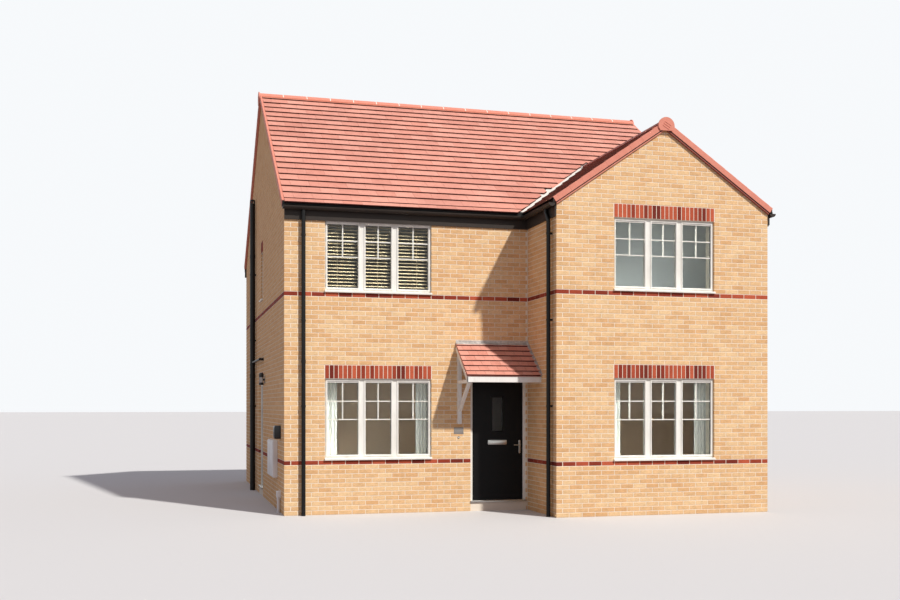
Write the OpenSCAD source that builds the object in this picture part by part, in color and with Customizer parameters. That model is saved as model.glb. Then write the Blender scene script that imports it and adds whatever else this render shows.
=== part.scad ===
// Detached two-storey brick house with a projecting front gable, a lean-to
// porch canopy and two hinged doors.
// Millimetres. X runs to the right along the front, Y runs to the rear, Z is up.
// The origin is the middle of the main block on the ground.

/* [Plan] */
// Width of the whole front
house_w = 7995; // [7700:5:8600]
// Depth of the main block
house_d = 8430; // [7600:10:9200]
// Share of the front's width that the projecting gable takes
wing_share = 0.4757; // [0.45:0.0001:0.49]
// How far the gable stands in front of the main block
wing_p = 1413; // [1200:1:1800]
// Thickness of the outer walls
wall_t = 300; // [260:10:360]

/* [Storeys] */
// Top of the ground floor above the ground
ground_floor_z = 150; // [100:5:200]
// Top of the first floor above the ground
first_floor_z = 2800; // [2700:10:2900]
// Thickness of the first floor
first_floor_t = 250; // [180:10:300]
// Underside of the upper ceiling above the first floor
upper_room_h = 2180; // [2120:10:2190]
// Thickness of the upper ceiling
ceiling_t = 60; // [40:5:60]

/* [Roof] */
// Height of the outer face of the eaves walls
wall_top_z = 5064; // [5050:2:5150]
// Pitch of every main slope in degrees
roof_pitch = 34.5; // [30:0.5:38]
// Thickness of tiles, battens and rafters at right angles to the slope
roof_t = 90; // [70:5:110]
// Clearance between pieces that lie on each other along a slope
slope_gap = 0.2; // [0.1:0.1:0.5]
// Thickness of the tile layer that overhangs the gutter
tile_t = 30; // [20:2:36]
// Overhang of the tiles in front of the eaves walls
eaves_out = 70; // [55:5:100]
// Overhang of the slopes past the gable walls
verge_out = 40; // [20:5:80]
// Thickness of the outer face of a verge cap
verge_t = 8; // [5:1:12]
// Depth of a verge cap at right angles to the slope
verge_depth = 92; // [80:2:110]
// Height of a verge cap above the tiles
verge_lip = 14; // [8:1:20]
// Width of a verge cap over the tiles
verge_cover = 70; // [50:5:100]
// Radius of the rounded ridge tiles
ridge_r = 120; // [100:5:140]
// Height of the ridge tiles above the tiles' peak
ridge_rise = 28; // [15:1:45]
// Radius of the rounded end caps of the ridges
ridge_cap_r = 134; // [124:2:150]
// Thickness of the ridge end caps
ridge_cap_t = 26; // [16:2:40]
// Width of the lead in the valleys, measured in plan
valley_w = 130; // [90:5:180]
// Thickness of the lead
lead_t = 3; // [2:0.5:5]

/* [Eaves] */
// Thickness of the fascia boards
fascia_t = 30; // [18:1:34]
// Underside of the fascia boards above the ground
fascia_z = 4848; // [4840:2:4900]
// Outer radius of the half-round gutters
gutter_r = 56; // [45:1:65]
// Wall thickness of the gutters
gutter_t = 4; // [3:0.5:6]
// Rim of the gutters above the ground
gutter_z = 5056; // [5030:2:5070]
// Outer radius of the downpipes
downpipe_r = 34; // [25:1:40]
// Gap between a downpipe and the face of the fascia above it
downpipe_gap = 4; // [2:1:20]
// Height of a downpipe clip
clip_h = 34; // [20:2:50]
// Thickness of a downpipe clip around the pipe
clip_t = 5; // [3:1:8]
// Lowest downpipe clips above the ground
clip_z = 1777; // [1500:1:1900]
// Spacing of the downpipe clips
clip_step = 1400; // [1200:10:1450]
// Front downpipe, from the left corner to its centre
front_pipe_x = 305; // [200:5:500]
// Return wall downpipe, from the gable face to its centre
return_pipe_y = 190; // [150:5:300]
// Sideways step of the return wall downpipe below the gutter
swan_step = 125; // [80:5:160]
// Top of the swan neck's slope above the ground
swan_top_z = 4950; // [4920:5:4990]
// Bottom of the swan neck's slope above the ground
swan_low_z = 4790; // [4760:5:4840]

/* [Windows] */
// Width of the wide window openings
win_w = 1810; // [1500:5:2000]
// Height of the lower window openings
low_win_h = 1350; // [1200:10:1400]
// Sills of the lower windows above the ground
low_sill_z = 900; // [850:5:1000]
// Height of the upper window openings
up_win_h = 1200; // [1000:10:1200]
// Sills of the upper windows above the ground
up_sill_z = 3675; // [3600:5:3680]
// Front windows, to the left of the middle between the left corner and the doorway
front_win_shift = 10; // [0:5:60]
// Rear windows, from each corner to the opening
rear_win_x = 1000; // [700:10:1400]
// Width of the small side window opening
side_win_w = 460; // [400:10:700]
// Height of the small side window opening
side_win_h = 975; // [800:5:1000]
// Sill of the small side window above the ground
side_win_z = 3900; // [3850:5:4000]
// Setback of the window frames from the wall face
win_setback = 40; // [20:5:90]
// Depth of the window frames
win_depth = 70; // [60:5:80]
// Width of the outer window frame
win_frame_w = 20; // [15:1:40]
// Width of the sash around each light
sash_w = 30; // [25:1:40]
// Step of the sash in front of the frame
sash_step = 12; // [6:1:20]
// Width of a window mullion
mullion_w = 70; // [50:2:90]
// Width of the glass in the middle light
middle_light_w = 430; // [360:10:500]
// Thickness of the sealed glass units
glass_t = 24; // [20:1:28]
// Height of the window sills
sill_h = 36; // [25:1:50]
// Overhang of the window sills in front of the wall
sill_out = 38; // [25:1:60]
// Horns of the sills past each side of the opening
sill_horn = 22; // [10:1:35]
// Fall of the sills towards their front edge
sill_fall = 8; // [3:1:15]

/* [Doors] */
// Pier between the front doorway and the gable's return wall
door_pier_w = 27; // [20:1:100]
// Width of the front doorway
door_w = 1005; // [900:5:1010]
// Height of both doorways above the ground
door_head_z = 2250; // [2200:5:2300]
// Side doorway, from the front corner to the opening
side_door_y = 3900; // [3500:10:4200]
// Width of the side doorway
side_door_w = 910; // [860:5:1000]
// Setback of the door frames from the wall face
door_setback = 35; // [20:5:80]
// Width of a door frame's jambs
jamb_w = 36; // [30:1:60]
// Width of the stop in front of the leaf
stop_w = 12; // [8:1:20]
// Thickness of that stop
stop_t = 22; // [16:1:30]
// Thickness of a door leaf
leaf_t = 44; // [40:1:60]
// Running gap around a door leaf
leaf_gap = 7; // [6:0.5:9]
// Height of a threshold
threshold_h = 30; // [20:1:45]
// Overhang of a threshold in front of the wall
threshold_out = 25; // [10:1:50]
// Width of the glazed slot in the front door
slot_w = 190; // [120:5:260]
// Height of the glazed slot
slot_h = 586; // [400:2:700]
// Underside of the glazed slot above the ground
slot_z = 1365; // [1320:5:1450]
// Glass thickness in the glazed slot
slot_glass_t = 20; // [12:1:28]
// Width of the letter plate
letter_w = 340; // [250:5:360]
// Height of the letter plate
letter_h = 78; // [50:2:90]
// Middle of the letter plate above the ground
letter_z = 1170; // [1100:5:1220]
// Height of a handle's back plate
plate_h = 235; // [180:5:260]
// Width of a handle's back plate
plate_w = 32; // [26:1:45]
// Thickness of the back plates and of the letter plate
plate_t = 8; // [5:1:12]
// Middle of a handle's back plate above the ground
plate_z = 1092; // [1000:5:1150]
// From the leaf's edge to the handle spindle
backset = 58; // [45:1:80]
// Height of the lever above the middle of its plate
lever_up = 30; // [0:5:60]
// Radius of a lever handle
lever_r = 9; // [7:0.5:12]
// Length of a lever handle
lever_l = 118; // [90:2:140]
// Distance of a lever from its leaf
lever_out = 48; // [38:1:60]
// Radius of a hinge knuckle
knuckle_r = 8; // [6:0.5:11]
// Length of one hinge knuckle
knuckle_h = 50; // [35:1:70]
// Thickness of the hinge flaps
flap_t = 3; // [2:0.5:5]
// Width of the hinge flap on the leaf
flap_w = 45; // [35:1:60]
// Axial gap between two hinge knuckles
knuckle_gap = 0.4; // [0.3:0.1:0.8]
// Distance of the end hinges from the ends of the leaf
hinge_end = 250; // [180:10:400]

/* [Porch canopy] */
// Reach of the canopy past the left side of the doorway
canopy_side = 260; // [150:10:400]
// Projection of the canopy
canopy_p = 690; // [550:5:800]
// Top of the canopy tiles at the wall above the ground
canopy_z = 2855; // [2780:5:2900]
// Pitch of the canopy in degrees
canopy_pitch = 38; // [32:1:40]
// Thickness of the canopy tiles at right angles to the slope
canopy_t = 20; // [14:1:30]
// Overhang of the canopy tiles in front of the fascia
canopy_drip = 15; // [5:1:30]
// Depth of the canopy's front fascia
canopy_fascia_h = 104; // [80:2:130]
// Thickness of the canopy's boards
canopy_board_t = 22; // [16:1:30]
// Height of the lead flashing on the wall
flashing_h = 62; // [40:2:100]
// Reach of the lead flashing over the tiles
flashing_w = 80; // [50:5:120]
// Thickness of the bracket's timbers
bracket_w = 65; // [50:1:80]
// Distance of the bracket from the canopy's left end
bracket_inset = 25; // [22:1:60]
// Foot of the bracket's post above the ground
bracket_z = 1490; // [1400:10:1600]
// Where the bracket's brace leaves the post above the ground
brace_z = 1690; // [1600:10:1750]

/* [Fittings] */
// Soil pipe, from the front corner to its centre
soil_pipe_y = 5600; // [5200:10:6200]
// Outer radius of the soil pipe
soil_pipe_r = 55; // [50:1:60]
// Gap between the soil pipe and the wall
soil_pipe_gap = 20; // [12:1:30]
// Top of the soil pipe above the ground
soil_pipe_top = 6100; // [5900:10:6250]
// Height of the waste branch above the ground
waste_z = 2720; // [2650:10:2780]
// Outer radius of the waste branch
waste_r = 21; // [16:1:26]
// Where the waste branch leaves the wall, from the front corner
waste_y = 3750; // [3650:10:5100]
// Meter boxes, from the front corner to the first box
meter_y = 1030; // [950:10:1300]
// Width of one meter box
meter_w = 490; // [420:5:520]
// Height of a meter box
meter_h = 640; // [560:5:700]
// Depth of a meter box in front of the wall
meter_out = 92; // [60:2:120]
// Underside of the meter boxes above the ground
meter_z = 560; // [500:10:620]
// Gap between the two meter boxes
meter_gap = 14; // [6:1:30]
// Thickness and border of a meter box's door
meter_door_t = 12; // [6:1:20]
// Car charger, from the front corner
charger_y = 500; // [450:5:700]
// Width of the car charger
charger_w = 190; // [150:5:230]
// Depth of the car charger in front of the wall
charger_out = 118; // [80:2:140]
// Height of the car charger
charger_h = 226; // [180:2:280]
// Radius of the car charger's corners
charger_round = 24; // [8:1:40]
// Underside of the car charger above the ground
charger_z = 1243; // [1210:5:1400]
// Service duct, from the front corner to its middle
duct_y = 560; // [450:5:700]
// Width of the duct's cover
duct_w = 130; // [90:2:160]
// Depth of the duct's cover in front of the wall
duct_out = 72; // [66:1:90]
// Bottom of the duct's cover above the ground
duct_cover_z = 253; // [220:5:300]
// Height of the duct's cover
duct_cover_h = 118; // [90:2:140]
// Outer radius of the duct
duct_r = 27; // [20:1:32]
// Wall lantern, from the front corner to its middle
lantern_y = 3480; // [3300:10:3560]
// Underside of the wall lantern above the ground
lantern_z = 2205; // [2150:5:2300]
// Height of the wall lantern
lantern_h = 235; // [200:5:280]
// Radius of the wall lantern
lantern_r = 48; // [40:1:60]
// Height of the lantern's cap
lantern_cap_h = 35; // [20:1:50]
// Radius of the lantern's cap
lantern_cap_r = 53; // [50:1:70]
// Gap between the lantern and the wall
lantern_gap = 24; // [12:1:40]
// Width and height of the lantern's arm
lantern_arm = 48; // [20:1:60]
// From the number plaque to the doorway
plaque_gap = 124; // [80:2:200]
// Width of the number plaque
plaque_w = 168; // [120:2:200]
// Height of the number plaque
plaque_h = 112; // [80:2:130]
// Thickness of the number plaque
plaque_t = 8; // [4:1:12]
// Underside of the number plaque above the ground
plaque_z = 1320; // [1300:5:1360]
// Radius of the bell push
bell_r = 17; // [14:1:22]
// Middle of the bell push above the ground
bell_z = 1260; // [1240:5:1290]

/* [Blind and curtains] */
// Width of a blind slat
slat_w = 42; // [35:1:50]
// Thickness of a blind slat
slat_t = 3; // [2:0.5:4]
// Spacing of the blind slats
slat_gap = 58; // [40:1:70]
// Height of the blind's head rail
head_rail_h = 40; // [30:1:60]
// Width of a curtain as gathered
curtain_w = 300; // [220:5:360]
// Thickness of a gathered curtain
curtain_t = 70; // [50:5:90]
// How far a curtain covers the window opening
curtain_in = 190; // [120:5:210]
// Rise of the curtains above the window opening
curtain_up = 100; // [60:5:150]
// Drop of the curtains below the window opening
curtain_down = 120; // [60:5:200]
// Clearance of soft pieces from what carries them
soft_gap = 0.3; // [0.2:0.1:0.6]

/* [Hidden] */
$fn = 48;

// The four faces of the main block, the inner corner and the gable's face
wing_w = round(house_w * wing_share);
x0 = -house_w / 2;
x1 = house_w / 2;
y0 = -house_d / 2;
y1 = house_d / 2;
xi = x1 - wing_w;
yw = y0 - wing_p;
x_ridge = (xi + x1) / 2;

// Thicknesses measured straight down through a slope
slope = tan(roof_pitch);
roof_tv = roof_t / cos(roof_pitch);
tile_tv = tile_t / cos(roof_pitch);
verge_lip_v = verge_lip / cos(roof_pitch);
verge_skirt_v = (verge_depth - verge_lip) / cos(roof_pitch);
canopy_slope = tan(canopy_pitch);
canopy_tv = canopy_t / cos(canopy_pitch);

// Undersides and tops of the slopes over a point of the plan
function main_under(y) = wall_top_z + min(y - y0, y1 - y) * slope;
function main_top(y) = main_under(y) + roof_tv;
function wing_under(x) = wall_top_z + min(x - xi, x1 - x) * slope;
function wing_top(x) = wing_under(x) + roof_tv;
ridge_z = main_top(0);
wing_ridge_z = wing_top(x_ridge);

// The front doorway stands beside the return wall, and the front windows beside it
door_x = house_w - wing_w - door_pier_w - door_w;
front_win_x = (door_x - win_w) / 2 - front_win_shift;

// Window openings as face, distance along the face, sill height, width and height
wing_win_x = (wing_w - win_w) / 2;
front_low_wins = [["front", front_win_x, low_sill_z, win_w, low_win_h],
    ["wing", wing_win_x, low_sill_z, win_w, low_win_h]];
front_up_wins = [["front", front_win_x, up_sill_z, win_w, up_win_h],
    ["wing", wing_win_x, up_sill_z, win_w, up_win_h]];
rear_wins = [for (x = [rear_win_x, house_w - rear_win_x - win_w])
    for (v = [[low_sill_z, low_win_h], [up_sill_z, up_win_h]])
        ["rear", x, v[0], win_w, v[1]]];
side_wins = [["left", side_door_y, side_win_z, side_win_w, side_win_h]];
all_wins = concat(front_low_wins, front_up_wins, rear_wins, side_wins);

// Doorways in the same form, standing on the ground floor
door_h = door_head_z - ground_floor_z;
front_doorway = ["front", door_x, ground_floor_z, door_w, door_h];
side_doorway = ["left", side_door_y, ground_floor_z, side_door_w, door_h];
frame_depth = stop_t + leaf_gap + leaf_t;
leaf_z = threshold_h + leaf_gap;
function leaf_w(w) = w - 2 * (jamb_w + leaf_gap);
leaf_h = door_h - leaf_z - jamb_w - leaf_gap;
hinge_zs = [leaf_z + hinge_end, leaf_z + leaf_h / 2, leaf_z + leaf_h - hinge_end - 2 * knuckle_h];
hinge_x = jamb_w + leaf_gap / 2;
cut = 5;

// Extrudes a Y-Z outline along X, or an X-Z outline along Y
module prism_x(xa, xb, pts) {
    translate([xa, 0, 0]) rotate([90, 0, 90]) linear_extrude(xb - xa) polygon(pts);
}
module prism_y(ya, yb, pts) {
    translate([0, yb, 0]) rotate([90, 0, 0]) linear_extrude(yb - ya) polygon(pts);
}

// Puts children at an opening: x to the right seen from outside, y into the wall
module on_face(o) {
    if (o[0] == "front") translate([x0 + o[1], y0, o[2]]) children();
    if (o[0] == "wing") translate([xi + o[1], yw, o[2]]) children();
    if (o[0] == "rear") translate([x1 - o[1], y1, o[2]]) rotate([0, 0, 180]) children();
    if (o[0] == "left") translate([x0, y0 + o[1] + o[3], o[2]]) rotate([0, 0, -90]) children();
}
module openings(list) {
    for (o = list) on_face(o) translate([0, -cut, 0]) cube([o[3], wall_t + 2 * cut, o[4]]);
}

// Outlines of the walls: eaves walls follow the underside of the roof
front_outline = [[y0, 0], [y0 + wall_t, 0], [y0 + wall_t, main_under(y0 + wall_t)],
    [y0, main_under(y0)]];
rear_outline = [for (p = front_outline) [-p[0], p[1]]];
return_outline = [[xi, 0], [xi + wall_t, 0], [xi + wall_t, wing_under(xi + wall_t)],
    [xi, wing_under(xi)]];
function side_outline(ya, yb) = concat([[ya, 0], [yb, 0], [yb, main_under(yb)]],
    ya < 0 && yb > 0 ? [[0, main_under(0)]] : [], [[ya, main_under(ya)]]);

module plan_inside() {
    translate([x0 + wall_t, y0 + wall_t]) square([house_w - 2 * wall_t, house_d - 2 * wall_t]);
    translate([xi + wall_t, yw + wall_t]) square([wing_w - 2 * wall_t, wing_p + wall_t]);
}
module ground_floor_slab() {
    color("silver") linear_extrude(ground_floor_z) plan_inside();
}
module first_floor_deck() {
    color("burlywood") translate([0, 0, first_floor_z - first_floor_t])
        linear_extrude(first_floor_t) plan_inside();
}
module upper_ceiling() {
    color("white") translate([0, 0, first_floor_z + upper_room_h])
        linear_extrude(ceiling_t) plan_inside();
}

module front_wall() {
    color("navajowhite") {
        difference() {
            prism_x(x0 + wall_t, x0 + door_x, front_outline);
            openings(front_low_wins);
            openings(front_up_wins);
        }
        translate([x0 + door_x, y0, 0]) cube([door_w, wall_t, ground_floor_z]);
    }
}
module over_door_wall() {
    color("navajowhite") difference() {
        prism_x(x0 + door_x, x0 + door_x + door_w, front_outline);
        translate([x0, y0 - cut, -cut]) cube([house_w, wall_t + 2 * cut, door_head_z + cut]);
    }
}
module entrance_pier() {
    color("navajowhite") prism_x(x0 + door_x + door_w, xi + wall_t, front_outline);
}
module return_wall() {
    color("navajowhite") prism_y(yw + wall_t, y0, return_outline);
}
module gable_wall() {
    color("navajowhite") difference() {
        prism_y(yw, yw + wall_t, [[xi, 0], [x1, 0], [x1, wing_under(x1)],
            [x_ridge, wing_under(x_ridge)], [xi, wing_under(xi)]]);
        openings(front_low_wins);
        openings(front_up_wins);
    }
}
module right_side_wall() {
    over_return = [for (p = return_outline) [2 * x_ridge - p[0], max(p[1], wall_top_z / 2)]];
    color("navajowhite") union() {
        prism_x(x1 - wall_t, x1, concat([[yw + wall_t, 0]], side_outline(y0, y1),
            [[yw + wall_t, wall_top_z]]));
        prism_y(yw + wall_t, y0, over_return);
    }
}
module left_wall_front() {
    color("navajowhite") union() {
        prism_x(x0, x0 + wall_t, side_outline(y0, y0 + side_door_y));
        translate([x0, y0 + side_door_y, 0]) cube([wall_t, side_door_w, ground_floor_z]);
    }
}
module left_wall_over_door() {
    color("navajowhite") difference() {
        prism_x(x0, x0 + wall_t, side_outline(y0 + side_door_y, y0 + side_door_y + side_door_w));
        translate([x0 - cut, y0, -cut]) cube([wall_t + 2 * cut, house_d, door_head_z + cut]);
        openings(side_wins);
    }
}
module left_wall_rear() {
    color("navajowhite") prism_x(x0, x0 + wall_t, side_outline(y0 + side_door_y + side_door_w, y1));
}
module rear_wall() {
    color("navajowhite") difference() {
        prism_x(x0 + wall_t, x1 - wall_t, rear_outline);
        openings(rear_wins);
    }
}

// Half a roof in outline: the slab over the walls, and tiles alone past the eaves
function slope_outline(half, top) = let (edge = wall_top_z + roof_tv)
    [[-half - eaves_out, edge - eaves_out * slope], [0, top], [0, top - roof_tv + slope_gap],
    [-half, wall_top_z + slope_gap], [-half, edge - tile_tv],
    [-half - eaves_out, edge - eaves_out * slope - tile_tv]];
function mirrored(pts) = [for (p = pts) [-p[0], p[1]]];
function moved(pts, dx) = [for (p = pts) [p[0] + dx, p[1]]];

// Everything below the tiles of the main block, which trims the gable's roof
module under_main_roof() {
    over = eaves_out + verge_out + cut;
    prism_x(x0 - over, x1 + over, [[y0, 0], [y1, 0], [y1, main_top(y1)], [0, ridge_z],
        [y0, main_top(y0)]]);
    prism_x(x0 - over, xi, [[y0 - eaves_out, 0], [y0, 0], [y0, main_top(y0)],
        [y0 - eaves_out, main_top(y0) - eaves_out * slope]]);
}
module main_roof_front() {
    color("salmon") difference() {
        prism_x(x0 - verge_out, x1 + verge_out, slope_outline(house_d / 2, ridge_z));
        translate([xi, y0 - eaves_out - cut, 0])
            cube([wing_w + verge_out + cut, eaves_out + cut, ridge_z]);
    }
}
module main_roof_rear() {
    color("salmon") prism_x(x0 - verge_out, x1 + verge_out, mirrored(slope_outline(house_d / 2, ridge_z)));
}
module gable_roof() {
    half = slope_outline(wing_w / 2, wing_ridge_z);
    color("salmon") difference() {
        for (side = [half, mirrored(half)]) prism_y(yw - verge_out, 0, moved(side, x_ridge));
        under_main_roof();
    }
}

// Rounded ridge section bedded on both slopes, with its peak at the origin
module ridge_section() {
    difference() {
        union() {
            translate([0, ridge_rise - ridge_r]) circle(r = ridge_r);
            translate([-ridge_r, -ridge_r]) square([2 * ridge_r, ridge_rise]);
        }
        translate([0, slope_gap]) polygon([[0, 0], [2 * ridge_r, -2 * ridge_r * slope],
            [2 * ridge_r, -4 * ridge_r], [-2 * ridge_r, -4 * ridge_r],
            [-2 * ridge_r, -2 * ridge_r * slope]]);
    }
}
module ridge_cap_section() {
    translate([0, ridge_rise - ridge_r]) circle(r = ridge_cap_r);
    translate([-ridge_cap_r, ridge_rise - 2 * ridge_r]) square([2 * ridge_cap_r, ridge_r]);
}
verge_end = verge_out + verge_t;
module main_ridge() {
    translate([x0 - verge_end, 0, ridge_z]) rotate([90, 0, 90])
        linear_extrude(house_w + 2 * verge_end) ridge_section();
}
module gable_ridge() {
    difference() {
        translate([x_ridge, 0, wing_ridge_z]) rotate([90, 0, 0])
            linear_extrude(verge_end - yw) ridge_section();
        under_main_roof();
    }
}
module ridge_tiles() {
    color("lightcoral") {
        union() {
            main_ridge();
            for (x = [x0 - verge_end - ridge_cap_t, x1 + verge_end])
                translate([x, 0, ridge_z]) rotate([90, 0, 90])
                    linear_extrude(ridge_cap_t) ridge_cap_section();
        }
        union() {
            gable_ridge();
            translate([x_ridge, yw - verge_end, wing_ridge_z]) rotate([90, 0, 0])
                linear_extrude(ridge_cap_t) ridge_cap_section();
        }
    }
}

// A point at a height over the tiles of two slopes, and a band between two such heights
function over_tiles(y, top, up) = [y, top - abs(y) * slope + up];
function band(half, top, hi, lo) = [over_tiles(-half, top, hi), over_tiles(0, top, hi),
    over_tiles(half, top, hi), over_tiles(half, top, lo), over_tiles(0, top, lo),
    over_tiles(-half, top, lo)];

// Verge caps leave room for the ridge: an outer face over both slopes, and a lip on each
function verge_face(half, top) = [over_tiles(-half, top, verge_lip_v),
    over_tiles(-ridge_r, top, verge_lip_v), over_tiles(-ridge_r, top, slope_gap),
    over_tiles(0, top, slope_gap), over_tiles(ridge_r, top, slope_gap),
    over_tiles(ridge_r, top, verge_lip_v),
    over_tiles(half, top, verge_lip_v), over_tiles(half, top, -verge_skirt_v),
    over_tiles(0, top, -verge_skirt_v), over_tiles(-half, top, -verge_skirt_v)];
function verge_flange(half, top) = [over_tiles(-half, top, verge_lip_v),
    over_tiles(-ridge_r, top, verge_lip_v), over_tiles(-ridge_r, top, slope_gap),
    over_tiles(-half, top, slope_gap)];
module left_verge() {
    half = house_d / 2 + eaves_out;
    flange = verge_flange(half, ridge_z);
    prism_x(x0 - verge_end, x0 - verge_out, verge_face(half, ridge_z));
    for (side = [flange, mirrored(flange)])
        prism_x(x0 - verge_out, x0 - verge_out + verge_cover, side);
}
module front_verge() {
    half = wing_w / 2 + eaves_out;
    flange = verge_flange(half, wing_ridge_z);
    prism_y(yw - verge_end, yw - verge_out, moved(verge_face(half, wing_ridge_z), x_ridge));
    for (side = [flange, mirrored(flange)])
        prism_y(yw - verge_out, yw - verge_out + verge_cover, moved(side, x_ridge));
}
module verge_caps() {
    color("lightcoral") {
        left_verge();
        difference() {
            mirror([1, 0, 0]) left_verge();
            translate([x1 - verge_cover, y0 - eaves_out - cut, 0])
                cube([verge_cover + verge_end + cut, eaves_out + verge_cover + cut, ridge_z]);
        }
        front_verge();
    }
}

// A strip of lead on the main tiles along the left valley; slopes of one pitch meet at 45 degrees
module left_valley() {
    band_x = valley_w * sqrt(2);
    rise = x_ridge - xi;
    intersection() {
        prism_x(x0, x1, band(house_d / 2 + eaves_out, ridge_z, lead_t / cos(roof_pitch), 0));
        linear_extrude(2 * ridge_z) polygon([[xi - eaves_out, y0 - eaves_out], [x_ridge, y0 + rise],
            [x_ridge - band_x, y0 + rise], [xi - eaves_out - band_x, y0 - eaves_out]]);
    }
}
module valley_lead() {
    color("lightgray") difference() {
        union() {
            left_valley();
            difference() {
                translate([2 * x_ridge, 0, 0]) mirror([1, 0, 0]) left_valley();
                translate([x1 - verge_cover, y0 - eaves_out - cut, 0])
                    cube([wing_w, house_d, 2 * ridge_z]);
            }
        }
        translate([x_ridge - ridge_r, y0, 0]) cube([2 * ridge_r, house_d, 2 * ridge_z]);
    }
}

// Fascia boards stand on the wall faces, cut to the underside of the tiles
fascia_top = wall_top_z + roof_tv - tile_tv - slope_gap;
fascia_outline = [[-fascia_t, fascia_z], [0, fascia_z], [0, fascia_top],
    [-fascia_t, fascia_top - fascia_t * slope]];
module fascia_boards() {
    color("#202022") {
        difference() {
            union() {
                prism_x(x0, xi, moved(fascia_outline, y0));
                prism_y(yw, y0, moved(fascia_outline, xi));
            }
            main_roof_front();
        }
        prism_y(yw, y0, moved(mirrored(fascia_outline), x1));
        prism_x(x0, x1, moved(mirrored(fascia_outline), y1));
    }
}

// Half-round gutters hang from the fascia boards, open on top and closed at their ends
gutter_end = verge_out - cut;
gutter_axis = fascia_t + gutter_r;
module trough(l, r) {
    difference() {
        rotate([0, 90, 0]) cylinder(r = r, h = l);
        translate([-cut, -r - cut, 0]) cube([l + 2 * cut, 2 * (r + cut), r + cut]);
    }
}
module run_x(xa, xb, y, r) {
    translate([xa, y, gutter_z]) trough(xb - xa, r);
}
module run_y(ya, yb, x, r) {
    translate([x, ya, gutter_z]) rotate([0, 0, 90]) trough(yb - ya, r);
}
module front_gutter(r, inset) {
    run_x(x0 - gutter_end + inset, xi - gutter_axis + r, y0 - gutter_axis, r);
    run_y(yw - gutter_end + inset, y0 - gutter_axis + r, xi - gutter_axis, r);
}
module side_gutter(r, inset) {
    run_y(yw - gutter_end + inset, y0 - inset, x1 + gutter_axis, r);
}
module rear_gutter(r, inset) {
    run_x(x0 - gutter_end + inset, x1 + gutter_end - inset, y1 + gutter_axis, r);
}
module gutters() {
    color("#202022") {
        difference() {
            front_gutter(gutter_r, 0);
            front_gutter(gutter_r - gutter_t, gutter_t);
        }
        difference() {
            side_gutter(gutter_r, 0);
            side_gutter(gutter_r - gutter_t, gutter_t);
        }
        difference() {
            rear_gutter(gutter_r, 0);
            rear_gutter(gutter_r - gutter_t, gutter_t);
        }
    }
}

// A round bar between two points
module bar(a, b, r) {
    d = b - a;
    translate(a) rotate([0, acos(d[2] / norm(d)), atan2(d[1], d[0])]) cylinder(r = r, h = norm(d));
}

// A downpipe on a wall behind it at y = 0, from the gutter to the ground
pipe_axis = fascia_t + downpipe_gap + downpipe_r;
pipe_top = gutter_z - gutter_r / 2;
module downpipe(step) {
    foot = [0, -pipe_axis, 0];
    bend_low = [0, -pipe_axis, swan_low_z];
    bend_top = [step, -pipe_axis, swan_top_z];
    if (step == 0) {
        bar(foot, [0, -pipe_axis, pipe_top], downpipe_r);
    } else {
        bar(foot, bend_low, downpipe_r);
        bar(bend_low, bend_top, downpipe_r);
        bar(bend_top, [step, -pipe_axis, pipe_top], downpipe_r);
        for (bend = [bend_low, bend_top]) translate(bend) sphere(r = downpipe_r + downpipe_gap / 2);
    }
    for (i = [0:2]) translate([0, 0, clip_z + i * clip_step]) {
        translate(foot) cylinder(r = downpipe_r + clip_t, h = clip_h);
        translate([-downpipe_r / 2, -pipe_axis, 0]) cube([downpipe_r, pipe_axis, clip_h]);
    }
}
module downpipes() {
    color("#202022") difference() {
        union() {
            translate([x0 + front_pipe_x, y0, 0]) downpipe(0);
            translate([xi, yw + return_pipe_y, 0]) rotate([0, 0, -90]) downpipe(-swan_step);
            translate([x1, yw + return_pipe_y, 0]) rotate([0, 0, 90]) downpipe(0);
            translate([x0 + front_pipe_x, y1, 0]) rotate([0, 0, 180]) downpipe(0);
        }
        front_gutter(gutter_r, 0);
        side_gutter(gutter_r, 0);
        rear_gutter(gutter_r, 0);
    }
}

// Glass widths and places across a window: three lights in a wide one, else one
edge_w = win_frame_w + sash_w;
post_w = mullion_w + 2 * sash_w;
function side_light(w) = (w - 2 * edge_w - 2 * post_w - middle_light_w) / 2;
function lights(w) = w < 2 * middle_light_w ? [[edge_w, w - 2 * edge_w]] :
    [[edge_w, side_light(w)], [edge_w + side_light(w) + post_w, middle_light_w],
    [w - edge_w - side_light(w), side_light(w)]];
module panes(o, y, depth) {
    for (l = lights(o[3])) translate([l[0], y, sill_h + edge_w])
        cube([l[1], depth, o[4] - sill_h - 2 * edge_w]);
}
module window_frame(o) {
    on_face(o) difference() {
        union() {
            translate([0, win_setback, sill_h]) cube([o[3], win_depth, o[4] - sill_h]);
            for (l = lights(o[3]))
                translate([l[0] - sash_w, win_setback - sash_step, sill_h + win_frame_w])
                    cube([l[1] + 2 * sash_w, sash_step, o[4] - sill_h - 2 * win_frame_w]);
        }
        panes(o, 0, win_setback + win_depth + cut);
    }
}
module front_windows() {
    color("white") for (o = concat(front_low_wins, front_up_wins)) window_frame(o);
}
module rear_windows() {
    color("white") for (o = rear_wins) window_frame(o);
}
module side_window() {
    color("white") for (o = side_wins) window_frame(o);
}
module window_glass() {
    color("lightblue", 0.5) for (o = all_wins)
        on_face(o) panes(o, win_setback + (win_depth - glass_t) / 2, glass_t);
}
module window_sills() {
    color("white") for (o = all_wins) on_face(o) {
        prism_x(-sill_horn, o[3] + sill_horn,
            [[-sill_out, 0], [0, 0], [0, sill_h], [-sill_out, sill_h - sill_fall]]);
        cube([o[3], win_setback + win_depth, sill_h]);
    }
}

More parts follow.
